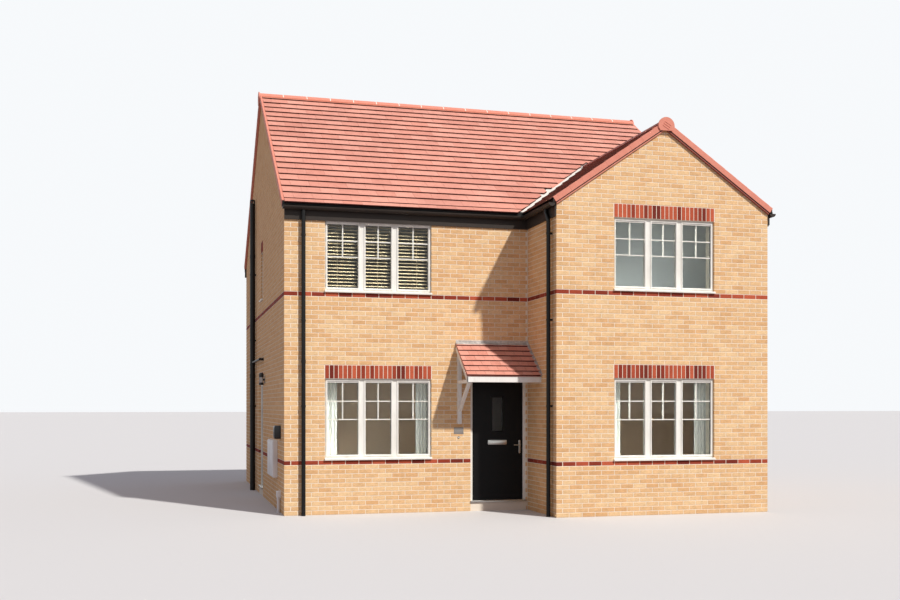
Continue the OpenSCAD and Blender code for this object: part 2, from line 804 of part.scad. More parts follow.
// Doors, seen from outside: x to the right, y into the wall, hinges on the left
leaf_y = door_setback + stop_t + leaf_gap;
leaf_back = leaf_y + leaf_t;
leaf_x = jamb_w + leaf_gap;
knuckle_y = leaf_back + knuckle_r + 1;
module knuckles(up) {
    for (z = hinge_zs) translate([hinge_x, knuckle_y, z + up]) cylinder(r = knuckle_r, h = knuckle_h);
}
module flaps(xa, xb, up) {
    for (z = hinge_zs) translate([xa, leaf_back, z + up]) cube([xb - xa, flap_t, knuckle_h]);
}
module door_frame(w, h) {
    difference() {
        translate([0, door_setback, 0]) cube([w, frame_depth, h]);
        translate([jamb_w, leaf_y - leaf_gap, -cut])
            cube([w - 2 * jamb_w, frame_depth, h - jamb_w + cut]);
        translate([jamb_w + stop_w, 0, -cut])
            cube([w - 2 * (jamb_w + stop_w), leaf_back, h - jamb_w - stop_w + cut]);
    }
    translate([0, -threshold_out, 0]) cube([w, leaf_back + threshold_out, threshold_h]);
    knuckles(0);
    flaps(flap_t, hinge_x, 0);
}
module door_leaf(w) {
    translate([leaf_x, leaf_y, leaf_z]) cube([leaf_w(w), leaf_t, leaf_h]);
    knuckles(knuckle_h + knuckle_gap);
    flaps(hinge_x, hinge_x + flap_w, knuckle_h + knuckle_gap);
}
module lever_handle(w) {
    x = w - leaf_x - backset;
    z = plate_z - ground_floor_z;
    for (side = [-1, 1]) {
        face = side < 0 ? leaf_y : leaf_back;
        translate([x - plate_w / 2, side < 0 ? face - plate_t : face, z - plate_h / 2])
            cube([plate_w, plate_t, plate_h]);
        translate([x, face, z + lever_up]) rotate([-90 * side, 0, 0])
            cylinder(r = lever_r, h = lever_out);
        translate([x, face + side * lever_out, z + lever_up]) {
            rotate([0, -90, 0]) cylinder(r = lever_r, h = lever_l);
            sphere(r = lever_r);
        }
    }
}
slot_x = (door_w - slot_w) / 2;
module front_door_frame() {
    color("white") on_face(front_doorway) door_frame(door_w, door_h);
}
module front_door() {
    color("#202022") on_face(front_doorway) difference() {
        door_leaf(door_w);
        translate([slot_x, 0, slot_z - ground_floor_z]) cube([slot_w, leaf_back + cut, slot_h]);
    }
}
module front_door_glass() {
    color("lightblue", 0.5) on_face(front_doorway)
        translate([slot_x, leaf_y + (leaf_t - slot_glass_t) / 2, slot_z - ground_floor_z])
            cube([slot_w, slot_glass_t, slot_h]);
}
module front_door_hardware() {
    color("silver") on_face(front_doorway) {
        lever_handle(door_w);
        translate([(door_w - letter_w) / 2, leaf_y - plate_t, letter_z - ground_floor_z - letter_h / 2])
            cube([letter_w, plate_t, letter_h]);
    }
}
module side_door_frame() {
    color("white") on_face(side_doorway) door_frame(side_door_w, door_h);
}
module side_door() {
    color("white") on_face(side_doorway) door_leaf(side_door_w);
}
module side_door_handle() {
    color("silver") on_face(side_doorway) lever_handle(side_door_w);
}

// Lean-to canopy between its left barge board and the return wall
canopy_x0 = x0 + door_x - canopy_side;
canopy_front = y0 - canopy_p;
function canopy_top(y) = canopy_z - (y0 - y) * canopy_slope;
function canopy_under(y) = canopy_top(y) - canopy_tv - slope_gap;
function canopy_band(ya, hi, lo) = [[ya, canopy_top(ya) + hi], [y0, canopy_z + hi], [y0, canopy_z + lo],
    [ya, canopy_top(ya) + lo]];
module canopy_roof() {
    color("salmon") prism_x(canopy_x0, xi, canopy_band(canopy_front, 0, -canopy_tv));
}
module canopy_frame() {
    fascia_y = canopy_front + canopy_drip;
    board_v = canopy_board_t / cos(canopy_pitch);
    under = canopy_tv + slope_gap;
    foot_z = canopy_under(fascia_y) - canopy_fascia_h;
    bx = canopy_x0 + bracket_inset;
    back = fascia_y + canopy_board_t;
    color("white") union() {
        prism_x(canopy_x0, xi, canopy_band(fascia_y, -under, -under - board_v));
        prism_x(canopy_x0, canopy_x0 + canopy_board_t,
            canopy_band(fascia_y, -under, -under - canopy_fascia_h));
        prism_x(canopy_x0, xi, [[fascia_y, foot_z], [back, foot_z], [back, canopy_under(back)],
            [fascia_y, canopy_under(fascia_y)]]);
        prism_x(bx, bx + bracket_w, [[y0 - bracket_w, bracket_z], [y0, bracket_z],
            [y0, canopy_under(y0)], [y0 - bracket_w, canopy_under(y0 - bracket_w)]]);
        prism_x(bx, bx + bracket_w, [[back, foot_z], [y0, foot_z], [y0, foot_z + bracket_w],
            [back, foot_z + bracket_w]]);
        prism_x(bx, bx + bracket_w, [[y0 - bracket_w, brace_z], [y0 - bracket_w, brace_z + bracket_w],
            [back + bracket_w, foot_z], [back, foot_z]]);
    }
}
module canopy_flashing() {
    color("lightgray") union() {
        translate([canopy_x0, y0 - lead_t, canopy_z])
            cube([xi - canopy_x0, lead_t, flashing_h]);
        prism_x(canopy_x0, xi, canopy_band(y0 - flashing_w, lead_t / cos(canopy_pitch), 0));
        prism_x(xi - lead_t, xi, canopy_band(canopy_front, flashing_h, 0));
    }
}

// A soil pipe on the left wall with a waste branch that leaves the wall
soil_x = x0 - soil_pipe_gap - soil_pipe_r;
module soil_pipe() {
    elbow = [soil_x, y0 + waste_y, waste_z];
    color("#202022") {
        bar([soil_x, y0 + soil_pipe_y, 0], [soil_x, y0 + soil_pipe_y, soil_pipe_top], soil_pipe_r);
        bar(elbow, [soil_x, y0 + soil_pipe_y, waste_z], waste_r);
        bar(elbow, [x0, y0 + waste_y, waste_z], waste_r);
        translate(elbow) sphere(r = waste_r);
        for (i = [0:2]) translate([soil_x, y0 + soil_pipe_y, clip_z + i * clip_step]) {
            cylinder(r = soil_pipe_r + clip_t, h = clip_h);
            translate([0, -clip_h, 0]) cube([x0 - soil_x, 2 * clip_h, clip_h]);
        }
    }
}

// A plate with rounded corners in X-Z, seen from the front
module rounded(w, h, r) {
    translate([r, 0]) square([w - 2 * r, h]);
    translate([0, r]) square([w, h - 2 * r]);
    for (x = [r, w - r]) for (z = [r, h - r]) translate([x, z]) circle(r = r);
}

// Puts children on the left wall: x towards the front, y into the wall, z up
module on_left(y, z) {
    translate([x0, y0 + y, z]) rotate([0, 0, -90]) children();
}
module meter_boxes() {
    door_w = meter_w - 2 * meter_door_t;
    color("whitesmoke") for (i = [1, 2]) on_left(meter_y + i * meter_w + (i - 1) * meter_gap, meter_z) {
        translate([0, meter_door_t - meter_out, 0]) cube([meter_w, meter_out - meter_door_t, meter_h]);
        translate([meter_door_t, meter_door_t - meter_out, meter_door_t]) rotate([90, 0, 0])
            linear_extrude(meter_door_t) rounded(door_w, meter_h - 2 * meter_door_t, meter_door_t);
    }
}
module car_charger() {
    color("#202022") on_left(charger_y + charger_w, charger_z) rotate([90, 0, 0])
        linear_extrude(charger_out) rounded(charger_w, charger_h, charger_round);
}
module service_duct() {
    color("whitesmoke") on_left(duct_y, 0) {
        translate([-duct_w / 2, -duct_out, duct_cover_z]) cube([duct_w, duct_out, duct_cover_h]);
        translate([0, -duct_out / 2, 0]) cylinder(r = duct_r, h = duct_cover_z);
    }
}
module wall_lantern() {
    out = lantern_gap + lantern_r;
    color("#202022") on_left(lantern_y, lantern_z) {
        translate([0, -out, 0]) cylinder(r = lantern_r, h = lantern_h - lantern_cap_h);
        translate([0, -out, lantern_h - lantern_cap_h]) cylinder(r = lantern_cap_r, h = lantern_cap_h);
        translate([-lantern_arm / 2, -out, (lantern_h - lantern_arm) / 2])
            cube([lantern_arm, out, lantern_arm]);
    }
}
module plaque_and_bell() {
    plaque_x = x0 + door_x - plaque_gap - plaque_w;
    color("gray") {
        translate([plaque_x, y0 - plaque_t, plaque_z]) cube([plaque_w, plaque_t, plaque_h]);
        translate([plaque_x + plaque_w / 2, y0, bell_z]) rotate([90, 0, 0])
            cylinder(r = bell_r, h = bell_r);
    }
}

// A slatted blind hung in the upper left window, and curtains at the lower ones
module window_blind() {
    o = front_up_wins[0];
    slat_l = o[3] - 2 * soft_gap;
    drop = o[4] - sill_h - soft_gap;
    count = floor((drop - head_rail_h) / slat_gap);
    color("cornsilk") on_face(o) translate([soft_gap, win_setback + win_depth + cut, sill_h]) {
        translate([0, 0, drop - head_rail_h]) cube([slat_l, slat_w, head_rail_h]);
        for (i = [0:count - 1]) translate([0, 0, drop - head_rail_h - (i + 1) * slat_gap])
            cube([slat_l, slat_w, slat_t]);
        for (x = [1 / 8, 1 / 2, 7 / 8])
            translate([x * slat_l, slat_w / 2, drop - head_rail_h - count * slat_gap])
                cube([slat_t, slat_t, count * slat_gap]);
    }
}
module curtains() {
    color("lightsteelblue") for (o = front_low_wins) on_face(o)
        for (x = [curtain_in - curtain_w, o[3] - curtain_in])
            translate([x, wall_t + soft_gap, -curtain_down])
                cube([curtain_w, curtain_t, o[4] + curtain_down + curtain_up]);
}

ground_floor_slab();
first_floor_deck();
upper_ceiling();
front_wall();
over_door_wall();
entrance_pier();
return_wall();
gable_wall();
right_side_wall();
left_wall_front();
left_wall_over_door();
left_wall_rear();
rear_wall();
main_roof_front();
main_roof_rear();
gable_roof();
ridge_tiles();
verge_caps();
valley_lead();
fascia_boards();
gutters();
downpipes();
front_windows();
rear_windows();
side_window();
window_glass();
window_sills();
front_door_frame();
front_door();
front_door_glass();
front_door_hardware();
side_door_frame();
side_door();
side_door_handle();
canopy_roof();
canopy_frame();
canopy_flashing();
soil_pipe();
meter_boxes();
car_charger();
service_duct();
wall_lantern();
plaque_and_bell();
window_blind();
curtains();
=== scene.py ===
"""Looks of the detached brick house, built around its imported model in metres.

The sections follow the house as it is put up: walls, floors, roofs, rainwater
goods, windows, doors, porch canopy, fittings on the walls, blind and curtains.
"""

import math
import random

import bmesh
import bpy
from mathutils import Matrix, Vector


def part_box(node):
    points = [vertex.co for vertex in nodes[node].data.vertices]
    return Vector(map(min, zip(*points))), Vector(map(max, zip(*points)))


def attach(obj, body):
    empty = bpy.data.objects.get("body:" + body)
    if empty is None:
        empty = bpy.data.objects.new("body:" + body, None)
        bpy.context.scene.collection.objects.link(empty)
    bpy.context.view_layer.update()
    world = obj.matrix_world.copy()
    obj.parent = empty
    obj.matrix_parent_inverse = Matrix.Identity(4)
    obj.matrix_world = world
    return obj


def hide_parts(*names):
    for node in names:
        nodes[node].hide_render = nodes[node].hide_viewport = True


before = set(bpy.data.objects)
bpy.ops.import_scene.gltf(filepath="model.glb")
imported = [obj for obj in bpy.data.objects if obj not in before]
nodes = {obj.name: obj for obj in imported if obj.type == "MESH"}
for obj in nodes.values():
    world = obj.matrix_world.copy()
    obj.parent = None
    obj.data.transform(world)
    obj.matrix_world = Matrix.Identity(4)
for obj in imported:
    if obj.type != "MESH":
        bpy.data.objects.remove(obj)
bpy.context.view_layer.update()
scene = bpy.context.scene

# Camera, floor and light.
# The house is seen from the left of its front, at eye height, on a plain pale floor
# under an even sky, with one sun lamp high at the front right.
camera = bpy.data.objects.new("camera", bpy.data.cameras.new("camera"))
scene.collection.objects.link(camera)
camera.location = (-5.8654, -21.7422, 1.7992)
camera.rotation_euler = (math.radians(90), 0, math.radians(-14.912))
camera.data.lens = 42.69
camera.data.shift_y = 0.1176
camera.data.clip_end = 1000
scene.camera = camera
scene.view_settings.view_transform = "Standard"

lamp = bpy.data.objects.new("front_lamp", bpy.data.lights.new("front_lamp", "SUN"))
scene.collection.objects.link(lamp)
lamp.data.energy = 3.45
lamp.data.color = (1.0, 0.965, 0.92)
lamp.data.angle = math.radians(2)
lamp.rotation_euler = Vector((-0.367, 0.624, -0.70)).to_track_quat("-Z", "Y").to_euler()


def link(name, mesh):
    """An object at the origin for a finished mesh."""
    made = bpy.data.objects.new(name, mesh)
    scene.collection.objects.link(made)
    return made


def feed(tree, node, values):
    """Fills inputs of a node: a value is written, a socket is linked."""
    for key, value in values.items():
        if isinstance(value, bpy.types.NodeSocket):
            tree.links.new(value, node.inputs[key])
        else:
            node.inputs[key].default_value = value


def add(tree, kind, values=None, **settings):
    """A node with its settings and its inputs."""
    made = tree.nodes.new(kind)
    for key, value in settings.items():
        setattr(made, key, value)
    feed(tree, made, values or {})
    return made


def math_node(tree, operation, *values):
    """The result of one sum on sockets or numbers."""
    return add(tree, "ShaderNodeMath", dict(enumerate(values)), operation=operation).outputs[0]


def mix(tree, factor, first, second, how="MIX"):
    """A mix of two colours."""
    values = {0: factor, 6: first, 7: second}
    return add(tree, "ShaderNodeMix", values, data_type="RGBA", blend_type=how).outputs[2]


def finish_coat(name):
    """A new material: its tree, its shader and the position on the piece."""
    made = bpy.data.materials.new(name)
    made.use_nodes = True
    tree = made.node_tree
    place = add(tree, "ShaderNodeTexCoord").outputs["Object"]
    return made, tree, tree.nodes["Principled BSDF"], place


world = bpy.data.worlds.new("even_sky")
scene.world = world
world.use_nodes = True
sky = world.node_tree
sky.nodes.clear()
ray = add(sky, "ShaderNodeLightPath").outputs
seen = math_node(sky, "MAXIMUM", ray["Is Camera Ray"], ray["Is Glossy Ray"])
seen = math_node(sky, "MAXIMUM", seen, ray["Is Transmission Ray"])
lighting = add(sky, "ShaderNodeBackground", {"Color": (0.80, 0.77, 0.87, 1), "Strength": 0.42})
backdrop = add(sky, "ShaderNodeBackground", {"Color": (0.93, 0.95, 0.97, 1), "Strength": 1.0})
both = add(sky, "ShaderNodeMixShader", {
    "Fac": seen, 1: lighting.outputs[0], 2: backdrop.outputs[0],
})
add(sky, "ShaderNodeOutputWorld", {"Surface": both.outputs[0]})

FLOOR = 300
floor_mesh = bpy.data.meshes.new("floor")
floor_mesh.from_pydata(
    [(-FLOOR, -FLOOR, 0), (FLOOR, -FLOOR, 0), (FLOOR, FLOOR, 0), (-FLOOR, FLOOR, 0)],
    [], [(0, 1, 2, 3)],
)
floor = link("floor", floor_mesh)
floor_paint, tree, shader, _ = finish_coat("pale_floor")
floor_seen = add(tree, "ShaderNodeLightPath").outputs["Is Camera Ray"]
feed(tree, shader, {
    "Base Color": mix(tree, floor_seen, (0.31, 0.28, 0.29, 1), (0.70, 0.70, 0.70, 1)),
    "Roughness": 0.9, "Specular IOR Level": 0.1,
})
floor_mesh.materials.append(floor_paint)

# Brickwork.
# Buff facing bricks of 215 by 65 mm in half bond on pale mortar, with red bricks in
# two string courses and as upright heads over the openings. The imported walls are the
# mortar and the rooms' plaster, and every brick stands a little proud of its bed.
LEFT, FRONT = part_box("left_wall_front")[0].x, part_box("front_wall")[0].y
RIGHT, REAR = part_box("right_side_wall")[1].x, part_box("rear_wall")[1].y
CORNER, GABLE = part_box("gable_wall")[0].x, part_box("gable_wall")[0].y
MAIN_WIDE, WING_WIDE = RIGHT - LEFT, RIGHT - CORNER
SIDE_DEEP, RETURN_DEEP = REAR - FRONT, FRONT - GABLE
BRICK = Vector((0.215, 0.1025, 0.065))
BRICK_CHAMFER = 0.0025
JOINT = 0.010
HALF_BOND = 0.1125
COURSE = 0.075
PROUD = 0.0035
LAP = 0.002
SHORTEST_SPAN, SHORTEST_BRICK, THINNEST_BRICK = 0.03, 0.05, 0.004
STRING_COURSES = (11, 48)
HEAD_COURSES = 3
PAINTED_SHADE_WALLS = ("bricks_left", "bricks_return")
EAVES = 5.064
UNDER_EAVES = 0.2
PITCH = math.radians(34.5)
SLOPE = math.tan(PITCH)
WIDE, LOW_SILL, LOW_HEAD, UP_SILL, UP_HEAD = 1.81, 0.9, 2.25, 3.675, 4.875
DOOR_X, DOOR_W = 3.16, 1.005
FRONT_WINDOW = 0.665
GABLE_WINDOW = (WING_WIDE - WIDE) / 2
REAR_WINDOWS = (1.0, MAIN_WIDE - 1.0 - WIDE)
SIDE_DOOR, SIDE_DOOR_W, SIDE_WINDOW_W, SIDE_SILL, SIDE_HEAD = 3.9, 0.91, 0.46, 3.9, 4.875


def srgb(red, green, blue):
    """A colour as it is read off a screen, 0 to 255, in the renderer's own numbers."""
    def one(c):
        c /= 255
        return c / 12.92 if c <= 0.04045 else ((c + 0.055) / 1.055) ** 2.4
    return (one(red), one(green), one(blue), 1.0)


def ramp(tree, factor, stops):
    """A colour ramp with its stops as (position, colour)."""
    made = add(tree, "ShaderNodeValToRGB", {"Fac": factor})
    elements = made.color_ramp.elements
    while len(elements) < len(stops):
        elements.new(0.5)
    for element, (position, colour) in zip(elements, stops):
        element.position = position
        element.color = colour
    return made.outputs["Color"]


def shade(tree, colour, factor, stops):
    """A colour made darker and lighter by a ramp."""
    return mix(tree, 1.0, colour, ramp(tree, factor, stops), "MULTIPLY")


def noise(tree, place, scale, detail, roughness=0.5, distortion=0.0):
    """A cloudy pattern between 0 and 1."""
    return add(tree, "ShaderNodeTexNoise", {
        "Vector": place, "Scale": scale, "Detail": detail, "Roughness": roughness,
        "Distortion": distortion,
    }).outputs["Fac"]


def squeezed(tree, place, scale):
    """A position whose pattern is drawn out along some axes."""
    return add(tree, "ShaderNodeMapping", {"Vector": place, "Scale": scale}).outputs[0]


def stored(tree, name):
    """A number that the mesh carries under that name."""
    return add(tree, "ShaderNodeAttribute", attribute_name=name).outputs["Fac"]


def bump(tree, shader, height, depth, strength):
    """Relief of that depth in metres on the shader."""
    values = {"Height": height, "Distance": depth, "Strength": strength}
    made = add(tree, "ShaderNodeBump", values)
    tree.links.new(made.outputs["Normal"], shader.inputs["Normal"])


def shader_group(name, inputs, outputs):
    """An empty group of shader nodes with number sockets, and its two end nodes."""
    tree = bpy.data.node_groups.new(name, "ShaderNodeTree")
    for way, labels in (("INPUT", inputs), ("OUTPUT", outputs)):
        for label in labels:
            tree.interface.new_socket(label, in_out=way, socket_type="NodeSocketFloat")
    return tree, tree.nodes.new("NodeGroupInput").outputs, tree.nodes.new("NodeGroupOutput")


def paint_nodes(paint, *names):
    """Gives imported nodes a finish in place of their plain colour."""
    for name in names:
        nodes[name].data.materials.clear()
        nodes[name].data.materials.append(paint)


def plain_mesh(name, shape):
    """A mesh of a finished shape, which is let go."""
    mesh = bpy.data.meshes.new(name)
    shape.to_mesh(mesh)
    shape.free()
    return mesh


def shape_object(mesh):
    """A hidden carrier for the shape that a tree sets out."""
    made = link(mesh.name, mesh)
    made.hide_render = True
    return made


def settle(piece, slot, body="house", *stands_for):
    """Puts a piece on its body and hides the nodes it stands for; the slot is not used."""
    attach(piece, body)
    if stands_for:
        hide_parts(*stands_for)


def wide_pair(along, upper_head=False):
    """A lower window with an upright head of bricks over it, and an upper one."""
    return [(along, along + WIDE, LOW_SILL, LOW_HEAD, True),
            (along, along + WIDE, UP_SILL, UP_HEAD, upper_head)]


def rake(length, ridge_at=None):
    """How far a wall reaches along at a height: under a gable's slopes, or to its eaves."""
    def reach(height):
        if height < EAVES - UNDER_EAVES:
            return -PROUD, length + PROUD
        if ridge_at is None:
            return (-PROUD, length + PROUD) if height < EAVES else (0.0, 0.0)
        step = max(0.0, (height + 0.012 - EAVES) / SLOPE)
        if step >= ridge_at:
            return 0.0, 0.0
        runs_on = 2 * ridge_at < length and EAVES - UNDER_EAVES < height < EAVES
        return step, length + PROUD if runs_on else min(2 * ridge_at - step, length)
    return reach


def lay_courses(length, halves, own, openings, reach, seed, courses):
    """Bricks of one wall as (middle along, middle height, length, upright, red, tone)."""
    draw = random.Random(seed)
    half = (length + JOINT) / halves if halves else HALF_BOND
    laid = []
    for course in range(courses):
        low = course * COURSE
        middle = low + COURSE / 2
        a, b = reach(low)
        if b - a < SHORTEST_BRICK:
            continue
        spans = [(a, b)]
        for left, right, sill, head, upright in openings:
            top = head + (HEAD_COURSES * COURSE if upright else 0)
            if sill < middle < top:
                lap = LAP if middle < head else -JOINT
                spans = [
                    piece for s, t in spans
                    for piece in ((s, min(t, left + lap)), (max(s, right - lap), t))
                    if piece[1] - piece[0] > SHORTEST_SPAN
                ]
        first = 0 if course % 2 == own else 1
        last = halves if halves else int(length / half) + 2
        bricks = [(i * half, (i + 2) * half - JOINT) for i in range(first, last - 1, 2)]
        if not halves:
            bricks = [
                (s, min(t, length - JOINT)) for s, t in bricks if s < length - SHORTEST_BRICK
            ]
        bricks = [
            (s - PROUD if s == 0 else s, t + PROUD if t > length - 0.005 else t)
            for s, t in bricks
        ]
        for s, t in spans:
            row = [
                [max(s, p), min(t, q)] for p, q in bricks
                if min(t, q) - max(s, p) > THINNEST_BRICK
            ]
            if len(row) > 1 and row[0][1] - row[0][0] < SHORTEST_BRICK:
                row[1][0] = row[0][0]
                row = row[1:]
            if len(row) > 1 and row[-1][1] - row[-1][0] < SHORTEST_BRICK:
                row[-2][1] = row[-1][1]
                row = row[:-1]
            for p, q in row:
                red = course in STRING_COURSES
                laid.append(((p + q) / 2, middle, q - p, 0, red, draw.random()))
    for left, right, sill, head, upright in openings:
        if upright:
            count = round((right - left) / COURSE)
            pitch = (right - left) / count
            middle = head + HEAD_COURSES * COURSE / 2 - 0.001
            for i in range(count):
                laid.append((left + (i + 0.5) * pitch, middle, BRICK.x + 0.002, 1, True,
                             draw.random()))
    return laid


def store(mesh, name, kind, domain, values):
    """Stores a number or a vector on each point or face of a mesh."""
    field = "value" if kind == "FLOAT" else "vector"
    mesh.attributes.new(name, kind, domain).data.foreach_set(field, values)


def plan_of(name, rows):
    """A cloud of points for a shape, from rows of (place, turn, stretch, tone)."""
    mesh = bpy.data.meshes.new(name)
    mesh.from_pydata([row[0] for row in rows], [], [])
    for key, column in (("turn", 1), ("stretch", 2)):
        store(mesh, key, "FLOAT_VECTOR", "POINT", [c for row in rows for c in row[column]])
    store(mesh, "tone", "FLOAT", "POINT", [row[3] for row in rows])
    return mesh


def brick_plan(name, laid, start, along, out):
    """The points of one wall's bricks, which also say whether a brick is red."""
    heading = math.atan2(along[1], along[0])
    inward = BRICK.y / 2 - PROUD
    mesh = plan_of(name, [
        ((start[0] + along[0] * s - out[0] * inward, start[1] + along[1] * s - out[1] * inward, z),
         (0, math.pi / 2 if upright else 0, heading), (length / BRICK.x, 1, 1), tone)
        for s, z, length, upright, _, tone in laid
    ])
    store(mesh, "red", "FLOAT", "POINT", [1.0 if brick[4] else 0.0 for brick in laid])
    return mesh


def placing_tree(name):
    """Sets one shape out on a plan's points, turned and stretched as each point says."""
    tree = bpy.data.node_groups.new(name, "GeometryNodeTree")
    for label, kind in (("Plan", "Geometry"), ("Shape", "Object"), ("Paint", "Material")):
        tree.interface.new_socket(label, in_out="INPUT", socket_type="NodeSocket" + kind)
    tree.interface.new_socket("Laid", in_out="OUTPUT", socket_type="NodeSocketGeometry")
    given = tree.nodes.new("NodeGroupInput").outputs
    shape = add(tree, "GeometryNodeObjectInfo", {"Object": given["Shape"]})
    turn, stretch = (
        add(tree, "GeometryNodeInputNamedAttribute", {"Name": key}, data_type="FLOAT_VECTOR")
        for key in ("turn", "stretch")
    )
    placed = add(tree, "GeometryNodeInstanceOnPoints", {
        "Points": given["Plan"], "Instance": shape.outputs["Geometry"],
        "Rotation": turn.outputs["Attribute"], "Scale": stretch.outputs["Attribute"],
    })
    real = add(tree, "GeometryNodeRealizeInstances", {"Geometry": placed.outputs[0]})
    painted = add(tree, "GeometryNodeSetMaterial", {
        "Geometry": real.outputs[0], "Material": given["Paint"],
    })
    add(tree, "NodeGroupOutput", {"Laid": painted.outputs[0]})
    return tree


placing = placing_tree("set_out")


def grow(name, plan, shape, paint):
    """Runs the tree on a plan once, and keeps what it makes as a plain mesh."""
    carrier = link(name + "_plan", plan)
    modifier = carrier.modifiers.new("grow", "NODES")
    modifier.node_group = placing
    values = {"Shape": shape, "Paint": paint}
    for item in placing.interface.items_tree:
        if item.in_out == "INPUT" and item.name in values:
            modifier[item.identifier] = values[item.name]
    depsgraph = bpy.context.evaluated_depsgraph_get()
    mesh = bpy.data.meshes.new_from_object(
        carrier.evaluated_get(depsgraph), preserve_all_data_layers=True, depsgraph=depsgraph
    )
    carrier.modifiers.clear()
    bpy.data.objects.remove(carrier)
    mesh.name = name
    return link(name, mesh)


# relief and speckle shared by fired clay: bricks, tiles and caps
clay, given, results = shader_group("fired_clay", ["Grain"], ["Speckle", "Height"])
clay_place = add(clay, "ShaderNodeTexCoord").outputs["Object"]
clay_fine = noise(clay, clay_place, given["Grain"], 6.0, 0.65)
clay_broad = noise(clay, clay_place, 9.0, 3.0)
feed(clay, results, {
    "Speckle": math_node(clay, "ADD", math_node(clay, "MULTIPLY", clay_fine, 0.6),
                         math_node(clay, "MULTIPLY", clay_broad, 0.4)),
    "Height": clay_fine,
})

brick_paint, tree, shader, place = finish_coat("facing_brick")
tone = stored(tree, "tone")
grain = add(tree, "ShaderNodeGroup", {"Grain": 150.0}, node_tree=clay).outputs
buff = ramp(tree, tone, [
    (0.0, srgb(228, 182, 131)), (0.25, srgb(234, 192, 142)), (0.6, srgb(239, 200, 151)),
    (1.0, srgb(243, 209, 162)),
])
reds = ramp(tree, tone, [
    (0.0, srgb(116, 42, 31)), (0.3, srgb(150, 60, 41)), (0.6, srgb(184, 85, 58)),
    (1.0, srgb(203, 101, 70)),
])
streak = noise(tree, squeezed(tree, place, (1.0, 1.0, 4.0)), 26.0, 3.0)
colour = shade(tree, mix(tree, stored(tree, "red"), buff, reds), grain["Speckle"], [
    (0.3, (0.80, 0.78, 0.74, 1)), (0.5, (1.0, 1.0, 1.0, 1)), (0.7, (1.12, 1.10, 1.06, 1)),
])
colour = shade(tree, colour, streak, [
    (0.35, (0.90, 0.87, 0.84, 1)), (0.6, (1.05, 1.05, 1.04, 1)),
])
feed(tree, shader, {
    "Base Color": colour, "Roughness": math_node(tree, "MULTIPLY_ADD", streak, 0.2, 0.72),
    "Specular IOR Level": 0.25,
})
bump(tree, shader, grain["Height"], 0.003, 0.7)

# a mask that is 1 in the rooms and 0 within a brick's depth of the outer faces
SKIN = 0.112
indoors, _, results = shader_group("indoors", [], ["Inside"])
split = add(indoors, "ShaderNodeSeparateXYZ", {
    "Vector": add(indoors, "ShaderNodeTexCoord").outputs["Object"],
})


def within(low, high, axis):
    """1 where a coordinate lies between two values."""
    above = math_node(indoors, "GREATER_THAN", split.outputs[axis], low)
    below = math_node(indoors, "LESS_THAN", split.outputs[axis], high)
    return math_node(indoors, "MULTIPLY", above, below)


main_plan = math_node(indoors, "MULTIPLY", within(LEFT + SKIN, RIGHT - SKIN, "X"),
                      within(FRONT + SKIN, REAR - SKIN, "Y"))
wing_plan = math_node(indoors, "MULTIPLY", within(CORNER + SKIN, RIGHT - SKIN, "X"),
                      within(GABLE + SKIN, FRONT + 0.4, "Y"))
feed(indoors, results, {"Inside": math_node(indoors, "MAXIMUM", main_plan, wing_plan)})

wall_paint, tree, shader, place = finish_coat("mortar_and_plaster")
inside = add(tree, "ShaderNodeGroup", node_tree=indoors).outputs["Inside"]
sand = noise(tree, place, 420.0, 4.0)
cloud = noise(tree, place, 3.0, 3.0)
mortar = mix(tree, sand, srgb(240, 222, 198), srgb(255, 249, 234))
mortar = mix(tree, math_node(tree, "MULTIPLY", cloud, 0.4), mortar, srgb(246, 230, 208))
plaster = mix(tree, cloud, srgb(238, 229, 214), srgb(244, 236, 223))
feed(tree, shader, {
    "Base Color": mix(tree, inside, mortar, plaster), "Roughness": 0.92,
    "Specular IOR Level": 0.15,
})
bump(tree, shader, sand, 0.0015, 0.6)
paint_nodes(wall_paint, "front_wall", "over_door_wall", "entrance_pier", "return_wall",
            "gable_wall", "right_side_wall", "left_wall_front", "left_wall_over_door",
            "left_wall_rear", "rear_wall")

